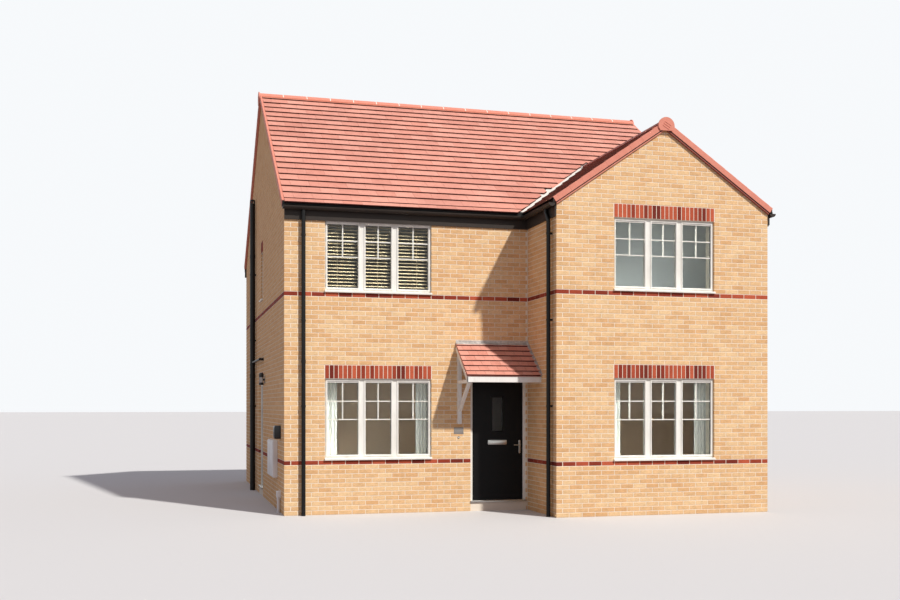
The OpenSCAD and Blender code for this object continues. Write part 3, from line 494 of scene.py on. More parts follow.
brick = bmesh.new()
bmesh.ops.create_cube(brick, size=1)
bmesh.ops.scale(brick, vec=BRICK, verts=brick.verts)
bmesh.ops.bevel(brick, geom=brick.edges[:], offset=BRICK_CHAMFER, segments=1, affect="EDGES")
brick_shape = shape_object(plain_mesh("brick_shape", brick))
door_gap = (DOOR_X, DOOR_X + DOOR_W, 0, LOW_HEAD, True)
side_gaps = [
    (SIDE_DOOR, SIDE_DOOR + SIDE_DOOR_W, 0, LOW_HEAD, True),
    (SIDE_DOOR, SIDE_DOOR + SIDE_WINDOW_W, SIDE_SILL, SIDE_HEAD, True),
]
WALLS = (
    # name, length, half bricks, course with a whole brick at the start, openings, reach,
    # start corner, direction, outward side, courses
    ("bricks_front", CORNER - LEFT, 0, 0, wide_pair(FRONT_WINDOW) + [door_gap],
     rake(CORNER - LEFT), (LEFT, FRONT), (1, 0), (0, -1), 68),
    ("bricks_return", RETURN_DEEP, 0, 1, [],
     rake(RETURN_DEEP), (CORNER, GABLE), (0, 1), (-1, 0), 68),
    ("bricks_gable", WING_WIDE, 34, 0, wide_pair(GABLE_WINDOW, True),
     rake(WING_WIDE, WING_WIDE / 2), (CORNER, GABLE), (1, 0), (0, -1), 86),
    ("bricks_left", SIDE_DEEP, 75, 1, side_gaps,
     rake(SIDE_DEEP, SIDE_DEEP / 2), (LEFT, FRONT), (0, 1), (-1, 0), 108),
    ("bricks_rear", MAIN_WIDE, 71, 1, wide_pair(REAR_WINDOWS[0]) + wide_pair(REAR_WINDOWS[1]),
     rake(MAIN_WIDE), (LEFT, REAR), (1, 0), (0, 1), 68),
    ("bricks_right", SIDE_DEEP + RETURN_DEEP, 88, 1, [],
     rake(SIDE_DEEP + RETURN_DEEP, SIDE_DEEP / 2), (RIGHT, REAR), (0, -1), (1, 0), 108),
)
for seed, wall in enumerate(WALLS):
    name, length, halves, own, gaps, reach, start, along, out, courses = wall
    laid = lay_courses(length, halves, own, gaps, reach, seed, courses)
    # bricks on the two walls that face away from the sun take lower, darker tones: painted shade
    if name in PAINTED_SHADE_WALLS:
        laid = [(*brick[:5], brick[5] * 0.4) for brick in laid]
    plan = brick_plan(name, laid, start, along, out)
    settle(grow(name, plan, brick_shape, brick_paint), "brickwork")
bpy.data.objects.remove(brick_shape)

# Floors and ceiling.
# A concrete ground floor, a boarded first floor on joists and plasterboard under the
# loft, all seen only through the windows.


def mottled(name, scale, detail, darker, lighter, rough, depth, strength,
            roughness=0.5, gloss=0.5):
    """A finish that wavers between two colours, with its grain as fine relief.

    A pair for rough says how much it follows the grain, and its lowest value.
    """
    paint, tree, shader, place = finish_coat(name)
    grain = noise(tree, place, scale, detail, roughness)
    if isinstance(rough, tuple):
        rough = math_node(tree, "MULTIPLY_ADD", grain, *rough)
    feed(tree, shader, {
        "Base Color": mix(tree, grain, darker, lighter), "Roughness": rough,
        "Specular IOR Level": gloss,
    })
    bump(tree, shader, grain, depth, strength)
    return paint


paint_nodes(mottled("screed", 2.5, 6.0, srgb(196, 184, 168), srgb(212, 200, 184),
                    0.85, 0.002, 0.4), "ground_floor_slab")
board_paint, tree, shader, place = finish_coat("floor_boarding")
boards = add(tree, "ShaderNodeTexBrick", {
    "Vector": place, "Color1": srgb(205, 184, 156), "Color2": srgb(190, 168, 138),
    "Mortar": srgb(120, 98, 74), "Scale": 1.0, "Mortar Size": 0.0015, "Brick Width": 2.4,
    "Row Height": 0.14,
}).outputs
feed(tree, shader, {"Base Color": boards["Color"], "Roughness": 0.6})
bump(tree, shader, boards["Fac"], 0.001, -0.6)
paint_nodes(board_paint, "first_floor_deck")
paint_nodes(mottled("ceiling_board", 60.0, 3.0, srgb(240, 238, 232), srgb(246, 244, 240),
                    0.9, 0.0005, 0.4), "upper_ceiling")

# Room partitions.
# Stud walls with painted plasterboard that part the front rooms from the hall and the
# back of the house, on both floors, each room in a colour of its own.
STUD_WALL, WALL, HALL_DEEP = 0.1, 0.3, 2.3
LIVING_DEEP, DINING_BACK, BEDROOM_BACK = 1.58, 0.6, 0.98
GROUND_STOREY, UPPER_STOREY = (0.1502, 2.5498), (2.8002, 4.9798)
inner_left, inner_right = LEFT + WALL + 0.001, RIGHT - WALL - 0.001
inner_front, hall_back = FRONT + WALL + 0.001, FRONT + WALL + HALL_DEEP
hall_left, hall_right = LEFT + 2.82, CORNER + 0.02
hall_side = (hall_left, hall_left + STUD_WALL, inner_front, hall_back)
ROOMS = (
    # name, darker and lighter paint, floor and ceiling, its stud walls as (x, x, y, y)
    ("living_room_walls", srgb(238, 216, 190), srgb(246, 226, 202), GROUND_STOREY, [
        (inner_left, hall_left - 0.001, FRONT + LIVING_DEEP, FRONT + LIVING_DEEP + STUD_WALL),
        hall_side]),
    ("hall_walls", srgb(232, 222, 206), srgb(240, 232, 218), GROUND_STOREY, [
        (hall_left + STUD_WALL + 0.001, hall_right - 0.001, hall_back - STUD_WALL, hall_back),
        (hall_right, hall_right + STUD_WALL, inner_front, hall_back)]),
    ("dining_room_walls", srgb(238, 210, 178), srgb(246, 220, 190), GROUND_STOREY, [
        (hall_right + STUD_WALL + 0.001, inner_right,
         FRONT + DINING_BACK, FRONT + DINING_BACK + STUD_WALL)]),
    ("study_walls", srgb(70, 58, 48), srgb(84, 70, 58), UPPER_STOREY, [
        (inner_left, hall_left - 0.001, hall_back - STUD_WALL, hall_back), hall_side]),
    ("bedroom_walls", srgb(226, 236, 242), srgb(238, 245, 248), UPPER_STOREY, [
        (CORNER + WALL + 0.001, inner_right,
         GABLE + BEDROOM_BACK, GABLE + BEDROOM_BACK + STUD_WALL)]),
)
for name, darker, lighter, (low, top), spans in ROOMS:
    room_paint = mottled(name + "_paint", 240.0, 3.0, darker, lighter, 0.9, 0.0004, 0.4)
    walls = bmesh.new()
    for a, b, c, d in spans:
        part = bmesh.ops.create_cube(walls, size=1)["verts"]
        bmesh.ops.scale(walls, vec=(b - a, d - c, top - low), verts=part)
        middle = ((a + b) / 2, (c + d) / 2, (low + top) / 2)
        bmesh.ops.translate(walls, vec=middle, verts=part)
    partition = link(name, plain_mesh(name, walls))
    partition.data.materials.append(room_paint)
    settle(partition, "plaster")

# Roof tiles.
# Flat interlocking clay-red tiles in half bond, each lapped over the course below and
# hooked on its batten. Their butts stand up and throw the dark lines of the courses, and
# their butts and sides are also painted dark as painted shade.
SLAB = 0.09 / math.cos(PITCH)
EAVES_OUT, VERGE_OUT = 0.07, 0.04
COVER, GAUGE, TILE_GAP, TILE_LENGTH = 0.323, 0.2545, 0.002, 0.33
BUTT_TOP, BUTT_FOOT, HEAD, TILE_CHAMFER = 0.034, 0.011, 0.004, 0.0025
TILE_FORM = (COVER - TILE_GAP, TILE_LENGTH, BUTT_TOP, BUTT_FOOT, HEAD, TILE_CHAMFER)
EAVES_TILE, FIRST_COURSE = -0.060, 0.0865
COURSES, WING_COURSES = 20, 10
UNDER_RIDGE = 0.015
VERGE_IN = 0.034
VALLEY_SHOWS = 0.065
APEX = (CORNER + RIGHT) / 2
APEX_Y = FRONT + APEX - CORNER
ROOF_BASE = EAVES + SLAB
# painted shade on the tiles' edges, on most slopes and on the wing's left slope: butts, sides
PLAIN_EDGE_SHADE, WING_EDGE_SHADE = (1.0, 0.25), (0.82, 0.88)


def mask_faces(mesh, name, share):
    """Stores on each face how far its finish turns to the darker colour."""
    store(mesh, name, "FLOAT", "FACE", [share(face) for face in mesh.polygons])


def wedge_tile(name, width, length, top, foot, head, cut, edges=PLAIN_EDGE_SHADE):
    """A flat tile, thick at its butt and thin at its head, with its edges cut."""
    shape = bmesh.new()
    corners = [
        shape.verts.new((x * width / 2, y * length, z))
        for x in (-1, 1) for y, z in ((0, foot), (0, top), (1, head), (1, 0.0))
    ]
    for face in ((0, 1, 2, 3), (7, 6, 5, 4), (1, 0, 4, 5), (2, 1, 5, 6), (3, 2, 6, 7),
                 (0, 3, 7, 4)):
        shape.faces.new([corners[i] for i in reversed(face)])
    bmesh.ops.bevel(shape, geom=shape.edges[:], offset=cut, segments=1, affect="EDGES")
    if shape.calc_volume(signed=True) < 0:
        bmesh.ops.reverse_faces(shape, faces=shape.faces)
    mesh = plain_mesh(name, shape)
    # butt and side faces are marked for painted shade
    mask_faces(mesh, "broken_edge", lambda face: edges[0] if face.normal.y < -0.5 else
               edges[1] if abs(face.normal.x) > 0.5 else 0.0)
    return shape_object(mesh)


def slope_rows(start, across, up, pitch, count, butts, cover, reach, length, seed, keep=None):
    """Half-bonded tiles of one slope, from its eaves corner, cut to end under the ridge."""
    draw = random.Random(seed)
    heading = math.atan2(across[1], across[0])
    rows = []
    for course, butt in enumerate(butts):
        run, rise = butt * math.cos(pitch), butt * math.sin(pitch)
        cut = min(1.0, (reach - butt) / length)
        if course % 2:
            places = [(0.25, 0.5)] + [(i + 1.0, 1.0) for i in range(count - 1)]
            places.append((count - 0.25, 0.5))
        else:
            places = [(i + 0.5, 1.0) for i in range(count)]
        for at, width in places:
            x = start[0] + across[0] * at * cover + up[0] * run
            y = start[1] + across[1] * at * cover + up[1] * run
            tone, lift, yaw = draw.random(), draw.uniform(0, 0.002), draw.uniform(-0.003, 0.003)
            if keep is None or keep(x, y):
                rows.append(((x, y, start[2] + rise + lift), (pitch, 0, heading + yaw),
                             (width, cut, 1), tone))
    return rows


def trim(piece, point, outward):
    """Saws a piece off along an upright plane and closes what was cut."""
    shape = bmesh.new()
    shape.from_mesh(piece.data)
    bmesh.ops.bisect_plane(
        shape, geom=shape.verts[:] + shape.edges[:] + shape.faces[:], plane_co=point,
        plane_no=outward, clear_outer=True,
    )
    bmesh.ops.holes_fill(shape, edges=[e for e in shape.edges if e.is_boundary], sides=0)
    shape.to_mesh(piece.data)
    shape.free()


tile_paint, tree, shader, place = finish_coat("coral_roof_tile")
grain = add(tree, "ShaderNodeGroup", {"Grain": 70.0}, node_tree=clay).outputs
stain = noise(tree, place, 1.3, 5.0)
colour = ramp(tree, stored(tree, "tone"), [
    (0.0, srgb(217, 147, 129)), (0.5, srgb(223, 155, 137)), (1.0, srgb(230, 164, 146)),
])
colour = shade(tree, colour, grain["Speckle"], [
    (0.32, (0.84, 0.80, 0.78, 1)), (0.5, (1.0, 1.0, 1.0, 1)), (0.68, (1.10, 1.12, 1.12, 1)),
])
colour = shade(tree, colour, stain, [
    (0.35, (0.92, 0.90, 0.90, 1)), (0.62, (1.04, 1.04, 1.03, 1)),
])
# the marked butts and sides turn dark brown: painted shade
butt_shade = mix(tree, grain["Speckle"], srgb(50, 14, 9), srgb(82, 31, 24))
feed(tree, shader, {
    "Base Color": mix(tree, stored(tree, "broken_edge"), colour, butt_shade),
    "Roughness": math_node(tree, "MULTIPLY_ADD", stain, 0.2, 0.62), "Specular IOR Level": 0.3,
})
bump(tree, shader, grain["Height"], 0.003, 0.6)
paint_nodes(tile_paint, "canopy_roof")

tile_shape = wedge_tile("tile_shape", *TILE_FORM)
wing_tile_shape = wedge_tile("wing_tile_shape", *TILE_FORM, WING_EDGE_SHADE)
edge_z = ROOF_BASE - EAVES_OUT * SLOPE
main_across = MAIN_WIDE + 2 * (VERGE_OUT - VERGE_IN)
main_count = round(main_across / COVER)
wing_front = GABLE - VERGE_OUT + VERGE_IN
wing_count = math.ceil((APEX_Y - wing_front) / COVER)
left_valley, right_valley = CORNER - FRONT, RIGHT + FRONT
main_butts = [EAVES_TILE] + [FIRST_COURSE + i * GAUGE for i in range(COURSES)]
wing_butts = main_butts[:WING_COURSES]
main_reach = (EAVES_OUT - FRONT) / math.cos(PITCH) - UNDER_RIDGE
wing_reach = (EAVES_OUT + APEX - CORNER) / math.cos(PITCH) - UNDER_RIDGE
main_corner = (LEFT - VERGE_OUT + VERGE_IN, FRONT - EAVES_OUT)
main_run = ((1, 0), (0, 1), main_count, main_butts, main_reach)
SLOPES = (
    # name, eaves corner, (across, up, tiles, courses, reach), kept, sawn off along
    ("tiles_front_upper", main_corner, main_run, lambda x, y: y > APEX_Y, []),
    ("tiles_front_left", main_corner, main_run,
     lambda x, y: y <= APEX_Y and x < APEX and x - y < left_valley + 0.1,
     [((CORNER - VALLEY_SHOWS * math.sqrt(2), FRONT, 0), (1, -1, 0))]),
    ("tiles_front_right", main_corner, main_run,
     lambda x, y: y <= APEX_Y and x >= APEX and x + y > right_valley - 0.1,
     [((RIGHT + VALLEY_SHOWS * math.sqrt(2), FRONT, 0), (-1, -1, 0))]),
    ("tiles_rear", (RIGHT + VERGE_OUT - VERGE_IN, REAR + EAVES_OUT),
     ((-1, 0), (0, -1), main_count, main_butts, main_reach), None, []),
    ("tiles_wing_left", (CORNER - EAVES_OUT, wing_front + wing_count * COVER),
     ((0, -1), (1, 0), wing_count, wing_butts, wing_reach),
     lambda x, y: x - y > left_valley - 0.35,
     [((CORNER, FRONT, 0), (-1, 1, 0))]),
    ("tiles_wing_right", (RIGHT + EAVES_OUT, wing_front),
     ((0, 1), (-1, 0), wing_count, wing_butts, wing_reach),
     lambda x, y: x + y < right_valley + 0.35,
     [((RIGHT, FRONT, 0), (1, 1, 0)), ((RIGHT + EAVES_OUT + 0.004, 0, 0), (1, 0, 0))]),
)
for seed, (name, corner, (across, up, count, butts, reach), keep, saws) in enumerate(SLOPES):
    cover = COVER if "wing" in name else main_across / main_count
    rows = slope_rows((*corner, edge_z), across, up, PITCH, count, butts, cover, reach,
                      TILE_LENGTH, seed, keep)
    shape = wing_tile_shape if name == "tiles_wing_left" else tile_shape
    tiles = grow(name, plan_of(name, rows), shape, tile_paint)
    for point, outward in saws:
        trim(tiles, point, Vector(outward).normalized())
    settle(tiles, "roof_tile")

# Ridge tiles.
# Round-backed clay tiles on a soft clay-coloured roll that laps the top tiles, with pale
# mortar in their joints, closed at the gables by rounded caps with raised diagonal ribs.
RIDGE_R, RIDGE_UP, RIDGE_LONG, RIDGE_JOINT = 0.176, 0.016, 0.476, 0.018
RIDGE_SPAN, RIDGE_HALF, RIDGE_FOOT, RIDGE_THICK = 63, 0.140, -0.080, 0.036
RIDGE_Z = ROOF_BASE - FRONT * SLOPE
WING_RIDGE_Z = ROOF_BASE + (APEX - CORNER) * SLOPE
WING_LIFT = 0.014
VERGE_END = VERGE_OUT + 0.008
BED_IN = 0.01
TOP_TILE = 0.274
ROLL_FROM, ROLL_TO, ROLL_OVER, ROLL_UNDER = 0.12, 0.250, 0.0025, -0.005
CAP_OUT, CAP_IN, RIB_OUT, RIB_IN = -0.019, 0.0, -0.024, -0.016
# a rounded cap: radius, height of its middle, half its foot, foot
LOW_CAP = (0.142, -0.100, 0.104, -0.205)
HIGH_CAP = (0.145, -0.073, 0.107, -0.150)
RIB_TURN, RIB_HALF_WIDE, RIB_HALF_LONG, RIB_STEP = math.radians(-60), 0.007, 0.065, 0.038


def standing(place, heading=0.0):
    """The frame of a piece that stands at a place, turned about the upright axis."""
    return Matrix.Translation(place) @ Matrix.Rotation(heading, 4, "Z")


def loft(shape, loops, closed=False):
    """Joins rings of points with quads, capped at both ends or closed to a ring."""
    rings = [[shape.verts.new(p) for p in loop] for loop in loops]
    if closed:
        rings.append(rings[0])
    else:
        shape.faces.new(rings[0])
        shape.faces.new(reversed(rings[-1]))
    for a, b in zip(rings, rings[1:]):
        for i in range(len(a)):
            j = (i + 1) % len(a)
            shape.faces.new((a[i], b[i], b[j], a[j]))


def prism(shape, outline, a, b, matrix=Matrix()):
    """A closed bar along x with an outline of (y, z)."""
    loft(shape, [[matrix @ Vector((x, y, z)) for y, z in outline] for x in (a, b)])


def arc(radius, start, end, steps, y=0.0, z=0.0):
    """Points of a round outline, between two angles in degrees."""
    turns = [math.radians(start + (end - start) * i / steps) for i in range(steps + 1)]
    return [(y + radius * math.cos(turn), z + radius * math.sin(turn)) for turn in turns]


def rectangle(y0, y1, z0, z1):
    """The outline of a bar with square edges."""
    return [(y0, z0), (y1, z0), (y1, z1), (y0, z1)]


def soften(mesh, sharp=35):
    """Shades a mesh smooth where its faces turn gently."""
    mesh.shade_smooth()
    mesh.set_sharp_from_angle(angle=math.radians(sharp))


def mesh_from(name, shape, sharp=35):
    """A mesh with outward faces and soft shading."""
    bmesh.ops.recalc_face_normals(shape, faces=shape.faces)
    mesh = plain_mesh(name, shape)
    soften(mesh, sharp)
    return mesh


def fix(name, shape, paint, slot, body="house", *stands_for):
    """A finished piece in one paint on its body, in place of the nodes it stands for."""
    made = link(name, mesh_from(name, shape))
    made.data.materials.append(paint)
    settle(made, slot, body, *stands_for)


ridge_paint, tree, shader, place = finish_coat("coral_ridge_clay")
grain = add(tree, "ShaderNodeGroup", {"Grain": 55.0}, node_tree=clay).outputs
colour = ramp(tree, grain["Speckle"], [
    (0.3, srgb(213, 129, 108)), (0.5, srgb(225, 143, 121)), (0.7, srgb(235, 154, 132)),
])
feed(tree, shader, {
    # faces stored as shaded sides mix to dark red: painted shade on the wing ridge's left flank and
    # on the verge beads
    "Base Color": mix(tree, stored(tree, "damp_side"), colour, srgb(122, 48, 41)),
    "Roughness": math_node(tree, "MULTIPLY_ADD", grain["Speckle"], 0.3, 0.45),
    "Specular IOR Level": 0.35,
})
bump(tree, shader, grain["Height"], 0.002, 0.5)
bed_paint = mottled("ridge_mortar", 300.0, 4.0, srgb(236, 224, 206), srgb(255, 248, 236),
                    0.95, 0.0015, 0.6)
roll_paint = mottled("ochre_ridge_roll", 45.0, 5.0, srgb(186, 100, 74), srgb(212, 126, 98),
                     0.8, 0.002, 0.5)


def ridge_arc(radius):
    """The round back of a ridge tile, or of the mortar under it."""
    return arc(radius, 90 - RIDGE_SPAN, 90 + RIDGE_SPAN, 16, 0, RIDGE_UP - RIDGE_R)


half_round = bmesh.new()
prism(half_round, ridge_arc(RIDGE_R) + [
    (-RIDGE_HALF, RIDGE_FOOT), (0, RIDGE_UP - RIDGE_THICK), (RIDGE_HALF, RIDGE_FOOT),
], 0, 1)
ridge_shape = shape_object(mesh_from("ridge_shape", half_round))


def ridge_row(start, heading, length):
    """Ridge tiles along a ridge: whole ones, then one cut to what is left."""
    joints = [0.0, RIDGE_LONG]
    while joints[-1] + RIDGE_LONG < length - 0.05:
        joints.append(joints[-1] + RIDGE_LONG)
    joints.append(length)
    along = (math.cos(heading), math.sin(heading))
    return [
        ((start[0] + along[0] * a, start[1] + along[1] * a, start[2]), (0, 0, heading),
         (b - a - (RIDGE_JOINT if b < length else 0), 1, 1), 0.5)
        for a, b in zip(joints, joints[1:])
    ]


rows = ridge_row((LEFT - VERGE_END, 0, RIDGE_Z), 0, MAIN_WIDE + 2 * VERGE_END)
rows += ridge_row((APEX, GABLE - VERGE_END, WING_RIDGE_Z + WING_LIFT), math.pi / 2,
                  APEX_Y - GABLE + VERGE_END + 0.02)
ridge = grow("ridge_row", plan_of("ridge_row", rows), ridge_shape, ridge_paint)
soften(ridge.data)
# the wing ridge's left-facing flank is painted darker as painted shade
mask_faces(ridge.data, "damp_side", lambda face: 0.85 if face.normal.x < -0.15
           and abs(face.normal.y) < 0.3 and face.center.y < APEX_Y else 0.0)
settle(ridge, "ridge_tile", "house", "ridge_tiles")

main_ridge = standing((0, 0, RIDGE_Z))
wing_ridge = standing((APEX, 0, WING_RIDGE_Z), math.pi / 2)
bed = bmesh.new()
core = ridge_arc(RIDGE_R - 0.0015) + [(0, -0.03)]
prism(bed, core, LEFT - VERGE_END + BED_IN, RIGHT + VERGE_END - BED_IN, main_ridge)
prism(bed, core, GABLE - VERGE_END + BED_IN, APEX_Y,
      standing((APEX, 0, WING_RIDGE_Z + WING_LIFT), math.pi / 2))
fix("ridge_bedding", bed, bed_paint, "ridge_tile")


def on_tiles(along, off):
    """Beside a ridge: a point that far down the top tiles and that far off them."""
    thick = BUTT_TOP - (TOP_TILE - along) * (BUTT_TOP - HEAD) / TILE_LENGTH + off
    return (along * math.cos(PITCH) + thick * math.sin(PITCH),
            thick * math.cos(PITCH) - along * math.sin(PITCH))


roll = bmesh.new()
lap = [on_tiles(*corner) for corner in ((ROLL_FROM, ROLL_OVER), (ROLL_TO, ROLL_OVER),
                                        (ROLL_TO, ROLL_UNDER), (ROLL_FROM, ROLL_UNDER))]
for a, b, matrix in (
    (LEFT - VERGE_OUT + VERGE_IN, RIGHT + VERGE_OUT - VERGE_IN, main_ridge),
    (GABLE - VERGE_OUT + VERGE_IN, APEX_Y - 0.2, wing_ridge),
):
    for way in (-1, 1):
        prism(roll, [(way * y, z) for y, z in lap], a, b, matrix)
fix("ridge_rolls", roll, roll_paint, "ridge_tile")

caps = bmesh.new()
rib = rectangle(-RIB_HALF_WIDE, RIB_HALF_WIDE, -RIB_HALF_LONG, RIB_HALF_LONG)
for place, heading, (radius, mid, half_foot, foot) in (
    ((LEFT - VERGE_END, 0, RIDGE_Z), 0.0, LOW_CAP),
    ((RIGHT + VERGE_END, 0, RIDGE_Z), math.pi, LOW_CAP),
    ((APEX, GABLE - VERGE_END, WING_RIDGE_Z), math.pi / 2, HIGH_CAP),
):
    matrix = standing(place, heading)
    outline = arc(radius, -12, 192, 24, 0, mid) + [(-half_foot, foot), (half_foot, foot)]
    prism(caps, outline, CAP_OUT, CAP_IN, matrix)
    for shift in (-RIB_STEP, 0.0, RIB_STEP):
        centre = (0, -0.5 * shift - 0.01, mid + 0.86 * shift + 0.01)
        prism(caps, rib, RIB_OUT, RIB_IN,
              matrix @ Matrix.Translation(centre) @ Matrix.Rotation(RIB_TURN, 4, "X"))
fix("ridge_end_caps", caps, ridge_paint, "ridge_tile")

# Verge caps.
# Clay-coloured dry verge units, one to a course, that clip over the tiles at the gables
# and hang down as a band, with a thin bead below a dark gap under it.
VERGE_FACE, VERGE_HIGH, VERGE_LOW, VERGE_FOOT = 0.008, 0.019, -0.075, 0.008
VERGE_SECTION = [
    (-VERGE_IN, 0.001), (-VERGE_IN, 0.014), (0.003 - VERGE_IN, 0.0175), (0.003, VERGE_HIGH),
    (VERGE_FACE, 0.014), (VERGE_FACE, VERGE_LOW + 0.003), (0.005, VERGE_LOW),
    (0.0, VERGE_LOW), (0.0, 0.001),
]
BEAD_SECTION = [
    (-0.033, -0.108), (-0.033, -0.090), (-0.002, -0.090), (0.0, -0.092), (0.0, -0.106),
    (-0.002, -0.108),
]
UNIT_ENDS = ((-0.004, 0.0012, 0.0025), (GAUGE - 0.002, 0.0, 0.0))


def verge_unit(name, side):
    """One unit with its outside on the given side, a little wider at its lower end."""
    shape = bmesh.new()
    for section in (VERGE_SECTION, BEAD_SECTION):
        loft(shape, [
            [(side * (x + (grow_x if x > 0 else 0)), y, z + (grow_z if z > 0 else 0))
             for x, z in section]
            for y, grow_x, grow_z in UNIT_ENDS
        ])
    mesh = mesh_from(name, shape, 25)
    # on left-hand units the bead's faces are painted dark as painted shade under the verge face
    mask_faces(mesh, "damp_side",
               lambda face: 0.8 if side < 0 and face.center.z < VERGE_LOW - 0.01 else 0.0)
    return shape_object(mesh)


left_hand, right_hand = verge_unit("verge_left_hand", -1), verge_unit("verge_right_hand", 1)


def verge_rows(start, up, butts):
    """Units up one verge, from its eaves corner."""
    heading = math.atan2(up[1], up[0]) - math.pi / 2
    return [
        ((start[0] + up[0] * math.cos(PITCH) * s, start[1] + up[1] * math.cos(PITCH) * s,
          edge_z + math.sin(PITCH) * s), (PITCH, 0, heading), (1, (t - s) / GAUGE, 1), 0.5)
        for s, t in zip([VERGE_FOOT] + butts[1:], butts[1:] + [butts[-1] + GAUGE])
    ]


west, east = LEFT - VERGE_OUT, RIGHT + VERGE_OUT
north, south = REAR + EAVES_OUT, FRONT - EAVES_OUT
gable_line = GABLE - VERGE_OUT
left_rows = verge_rows((west, south), (0, 1), main_butts)
left_rows += verge_rows((east, north), (0, -1), main_butts)
left_rows += verge_rows((RIGHT + EAVES_OUT, gable_line), (-1, 0), wing_butts)
right_rows = verge_rows((west, north), (0, -1), main_butts)
right_rows += verge_rows((east, south), (0, 1), main_butts)[2:]
right_rows += verge_rows((CORNER - EAVES_OUT, gable_line), (1, 0), wing_butts)
for name, rows, unit, stands_for in (
    ("verges_left_hand", left_rows, left_hand, ["verge_caps"]),
    ("verges_right_hand", right_rows, right_hand, []),
):
    verge = grow(name, plan_of(name, rows), unit, ridge_paint)
    settle(verge, "ridge_tile", "house", *stands_for)
for shape in (tile_shape, wing_tile_shape, ridge_shape, left_hand, right_hand):
    bpy.data.objects.remove(shape)

# Undercloaks.
# Strips of dark fibre cement board under the tiles' edges at the gables, and a narrower
# one along the wall below, which close the gap between the wall and the verge caps. Their
# dark colour, also given to the roof slabs under the tiles, is partly the board's own and
# partly painted shade in the recess under the verges and between the tiles.
BOARD_TOP, BOARD_FOOT, STRIP_FOOT, STRIP_THICK = 0.030, 0.073, 0.108, 0.009
BOARD_HEAD, CLOAK_GAP, CLOAK_LAP = 0.02, 0.0005, 0.0045
dark_board_and_shade = mottled("dark_undercloak", 90.0, 5.0, srgb(30, 26, 23), srgb(46, 40, 36),
                     0.9, 0.0008, 0.4)
# the roof slabs take the same dark, partly as painted shade in the gaps between the tiles
paint_nodes(dark_board_and_shade, "main_roof_front", "main_roof_rear", "gable_roof")
cloaks = bmesh.new()


def cloak(half, top, outer, inner, matrix):
    """A board under one pair of slopes and a strip hung along the wall under it."""
    strip = inner + STRIP_THICK * (1 if outer > inner else -1)
    for way in (-1, 1):
        for a, b, high, low in ((outer, inner, BOARD_TOP, BOARD_FOOT),
                                (strip, inner, BOARD_FOOT, STRIP_FOOT)):
            corners = ((half, high), (BOARD_HEAD, high), (BOARD_HEAD, low), (half, low))
            under = [(way * d, top - d * SLOPE - drop) for d, drop in corners]
            prism(cloaks, under, min(a, b), max(a, b), matrix)


cloak(EAVES_OUT - FRONT, RIDGE_Z, west + CLOAK_GAP, LEFT - CLOAK_LAP, Matrix())
cloak(EAVES_OUT - FRONT, RIDGE_Z, east - CLOAK_GAP, RIGHT + CLOAK_LAP, Matrix())
cloak(EAVES_OUT + APEX - CORNER, WING_RIDGE_Z, gable_line + CLOAK_GAP, GABLE - CLOAK_LAP,
      standing((APEX, 0, 0), math.pi / 2))
fix("verge_undercloaks", cloaks, dark_board_and_shade, "black_plastic")

# Lead.
# Dull grey sheet lead with white patina in clouds, dressed into the saddle behind the
# wing's ridge and up the wall over the canopy, and pale troughs in the valleys.
SADDLE_HALF, SADDLE_WIDE, LEAD_T = 0.16, 0.24, 0.004
lead_paint, tree, shader, place = finish_coat("sheet_lead")
patina = noise(tree, place, 14.0, 8.0, 0.7)
feed(tree, shader, {
    "Base Color": ramp(tree, patina, [
        (0.3, srgb(150, 146, 142)), (0.5, srgb(186, 180, 174)), (0.7, srgb(222, 216, 208)),
    ]),
    "Roughness": math_node(tree, "MULTIPLY_ADD", patina, 0.4, 0.35), "Metallic": 0.35,
})
bump(tree, shader, patina, 0.002, 0.4)
trough_paint = mottled("pale_valley_trough", 5.0, 7.0, srgb(206, 202, 192), srgb(250, 248, 240),
                       (0.3, 0.35), 0.001, 0.3, roughness=0.6)
paint_nodes(trough_paint, "valley_lead")
paint_nodes(lead_paint, "canopy_flashing")
saddle = bmesh.new()
rise = SADDLE_HALF * 2 * SLOPE
prism(saddle, [
    (APEX_Y - SADDLE_HALF, 0.0), (APEX_Y + SADDLE_HALF, rise),
    (APEX_Y + SADDLE_HALF, rise + LEAD_T), (APEX_Y - SADDLE_HALF, LEAD_T),
], APEX - SADDLE_WIDE, APEX + SADDLE_WIDE,
      standing((0, 0, ROOF_BASE + (APEX_Y - SADDLE_HALF - FRONT) * SLOPE)))
fix("valley_saddle", saddle, lead_paint, "lead")

# Rainwater goods.
# Moulded half-round gutters on brackets along fascia boards, all faded from black, with
# black trays under the eaves tiles, and round black downpipes clipped to the walls.
GUTTER_R, GUTTER_Z, GUTTER_AXIS, PIPE_R, PIPE_AXIS = 0.056, 5.056, 0.086, 0.034, 0.068
BRACKET_HALF, BRACKET_STEP, BRACKET_IN = 0.012, 0.85, 0.25
JOINER_HALF, JOINER_AT, JOINER_SWELL = 0.045, 0.55, 1.012
END_BOX_FOOT, END_BOX_TOP, END_BOX_DEEP, END_BOX_WIDE = 4.868, 5.060, 0.035, 0.016
WING_BOX_TOP, WING_BOX = 5.050, ((0.002, 0.020), (0.021, 0.046))
TRAY = [
    (-0.0005, 0.012), (-0.0005, -0.045), (-0.016, -0.062), (-0.018, -0.060),
    (-0.0025, -0.044), (-0.0025, 0.012),
]
black_paint = mottled("black_moulding", 6.0, 6.0, srgb(12, 12, 12), srgb(24, 23, 22),
                      (0.25, 0.3), 0.001, 0.15, gloss=0.3)
grey_paint = mottled("faded_black_moulding", 6.0, 6.0, srgb(44, 38, 34), srgb(62, 54, 48),
                     (0.25, 0.4), 0.001, 0.15, gloss=0.25)
paint_nodes(grey_paint, "fascia_boards", "gutters")
paint_nodes(black_paint, "downpipes", "soil_pipe")

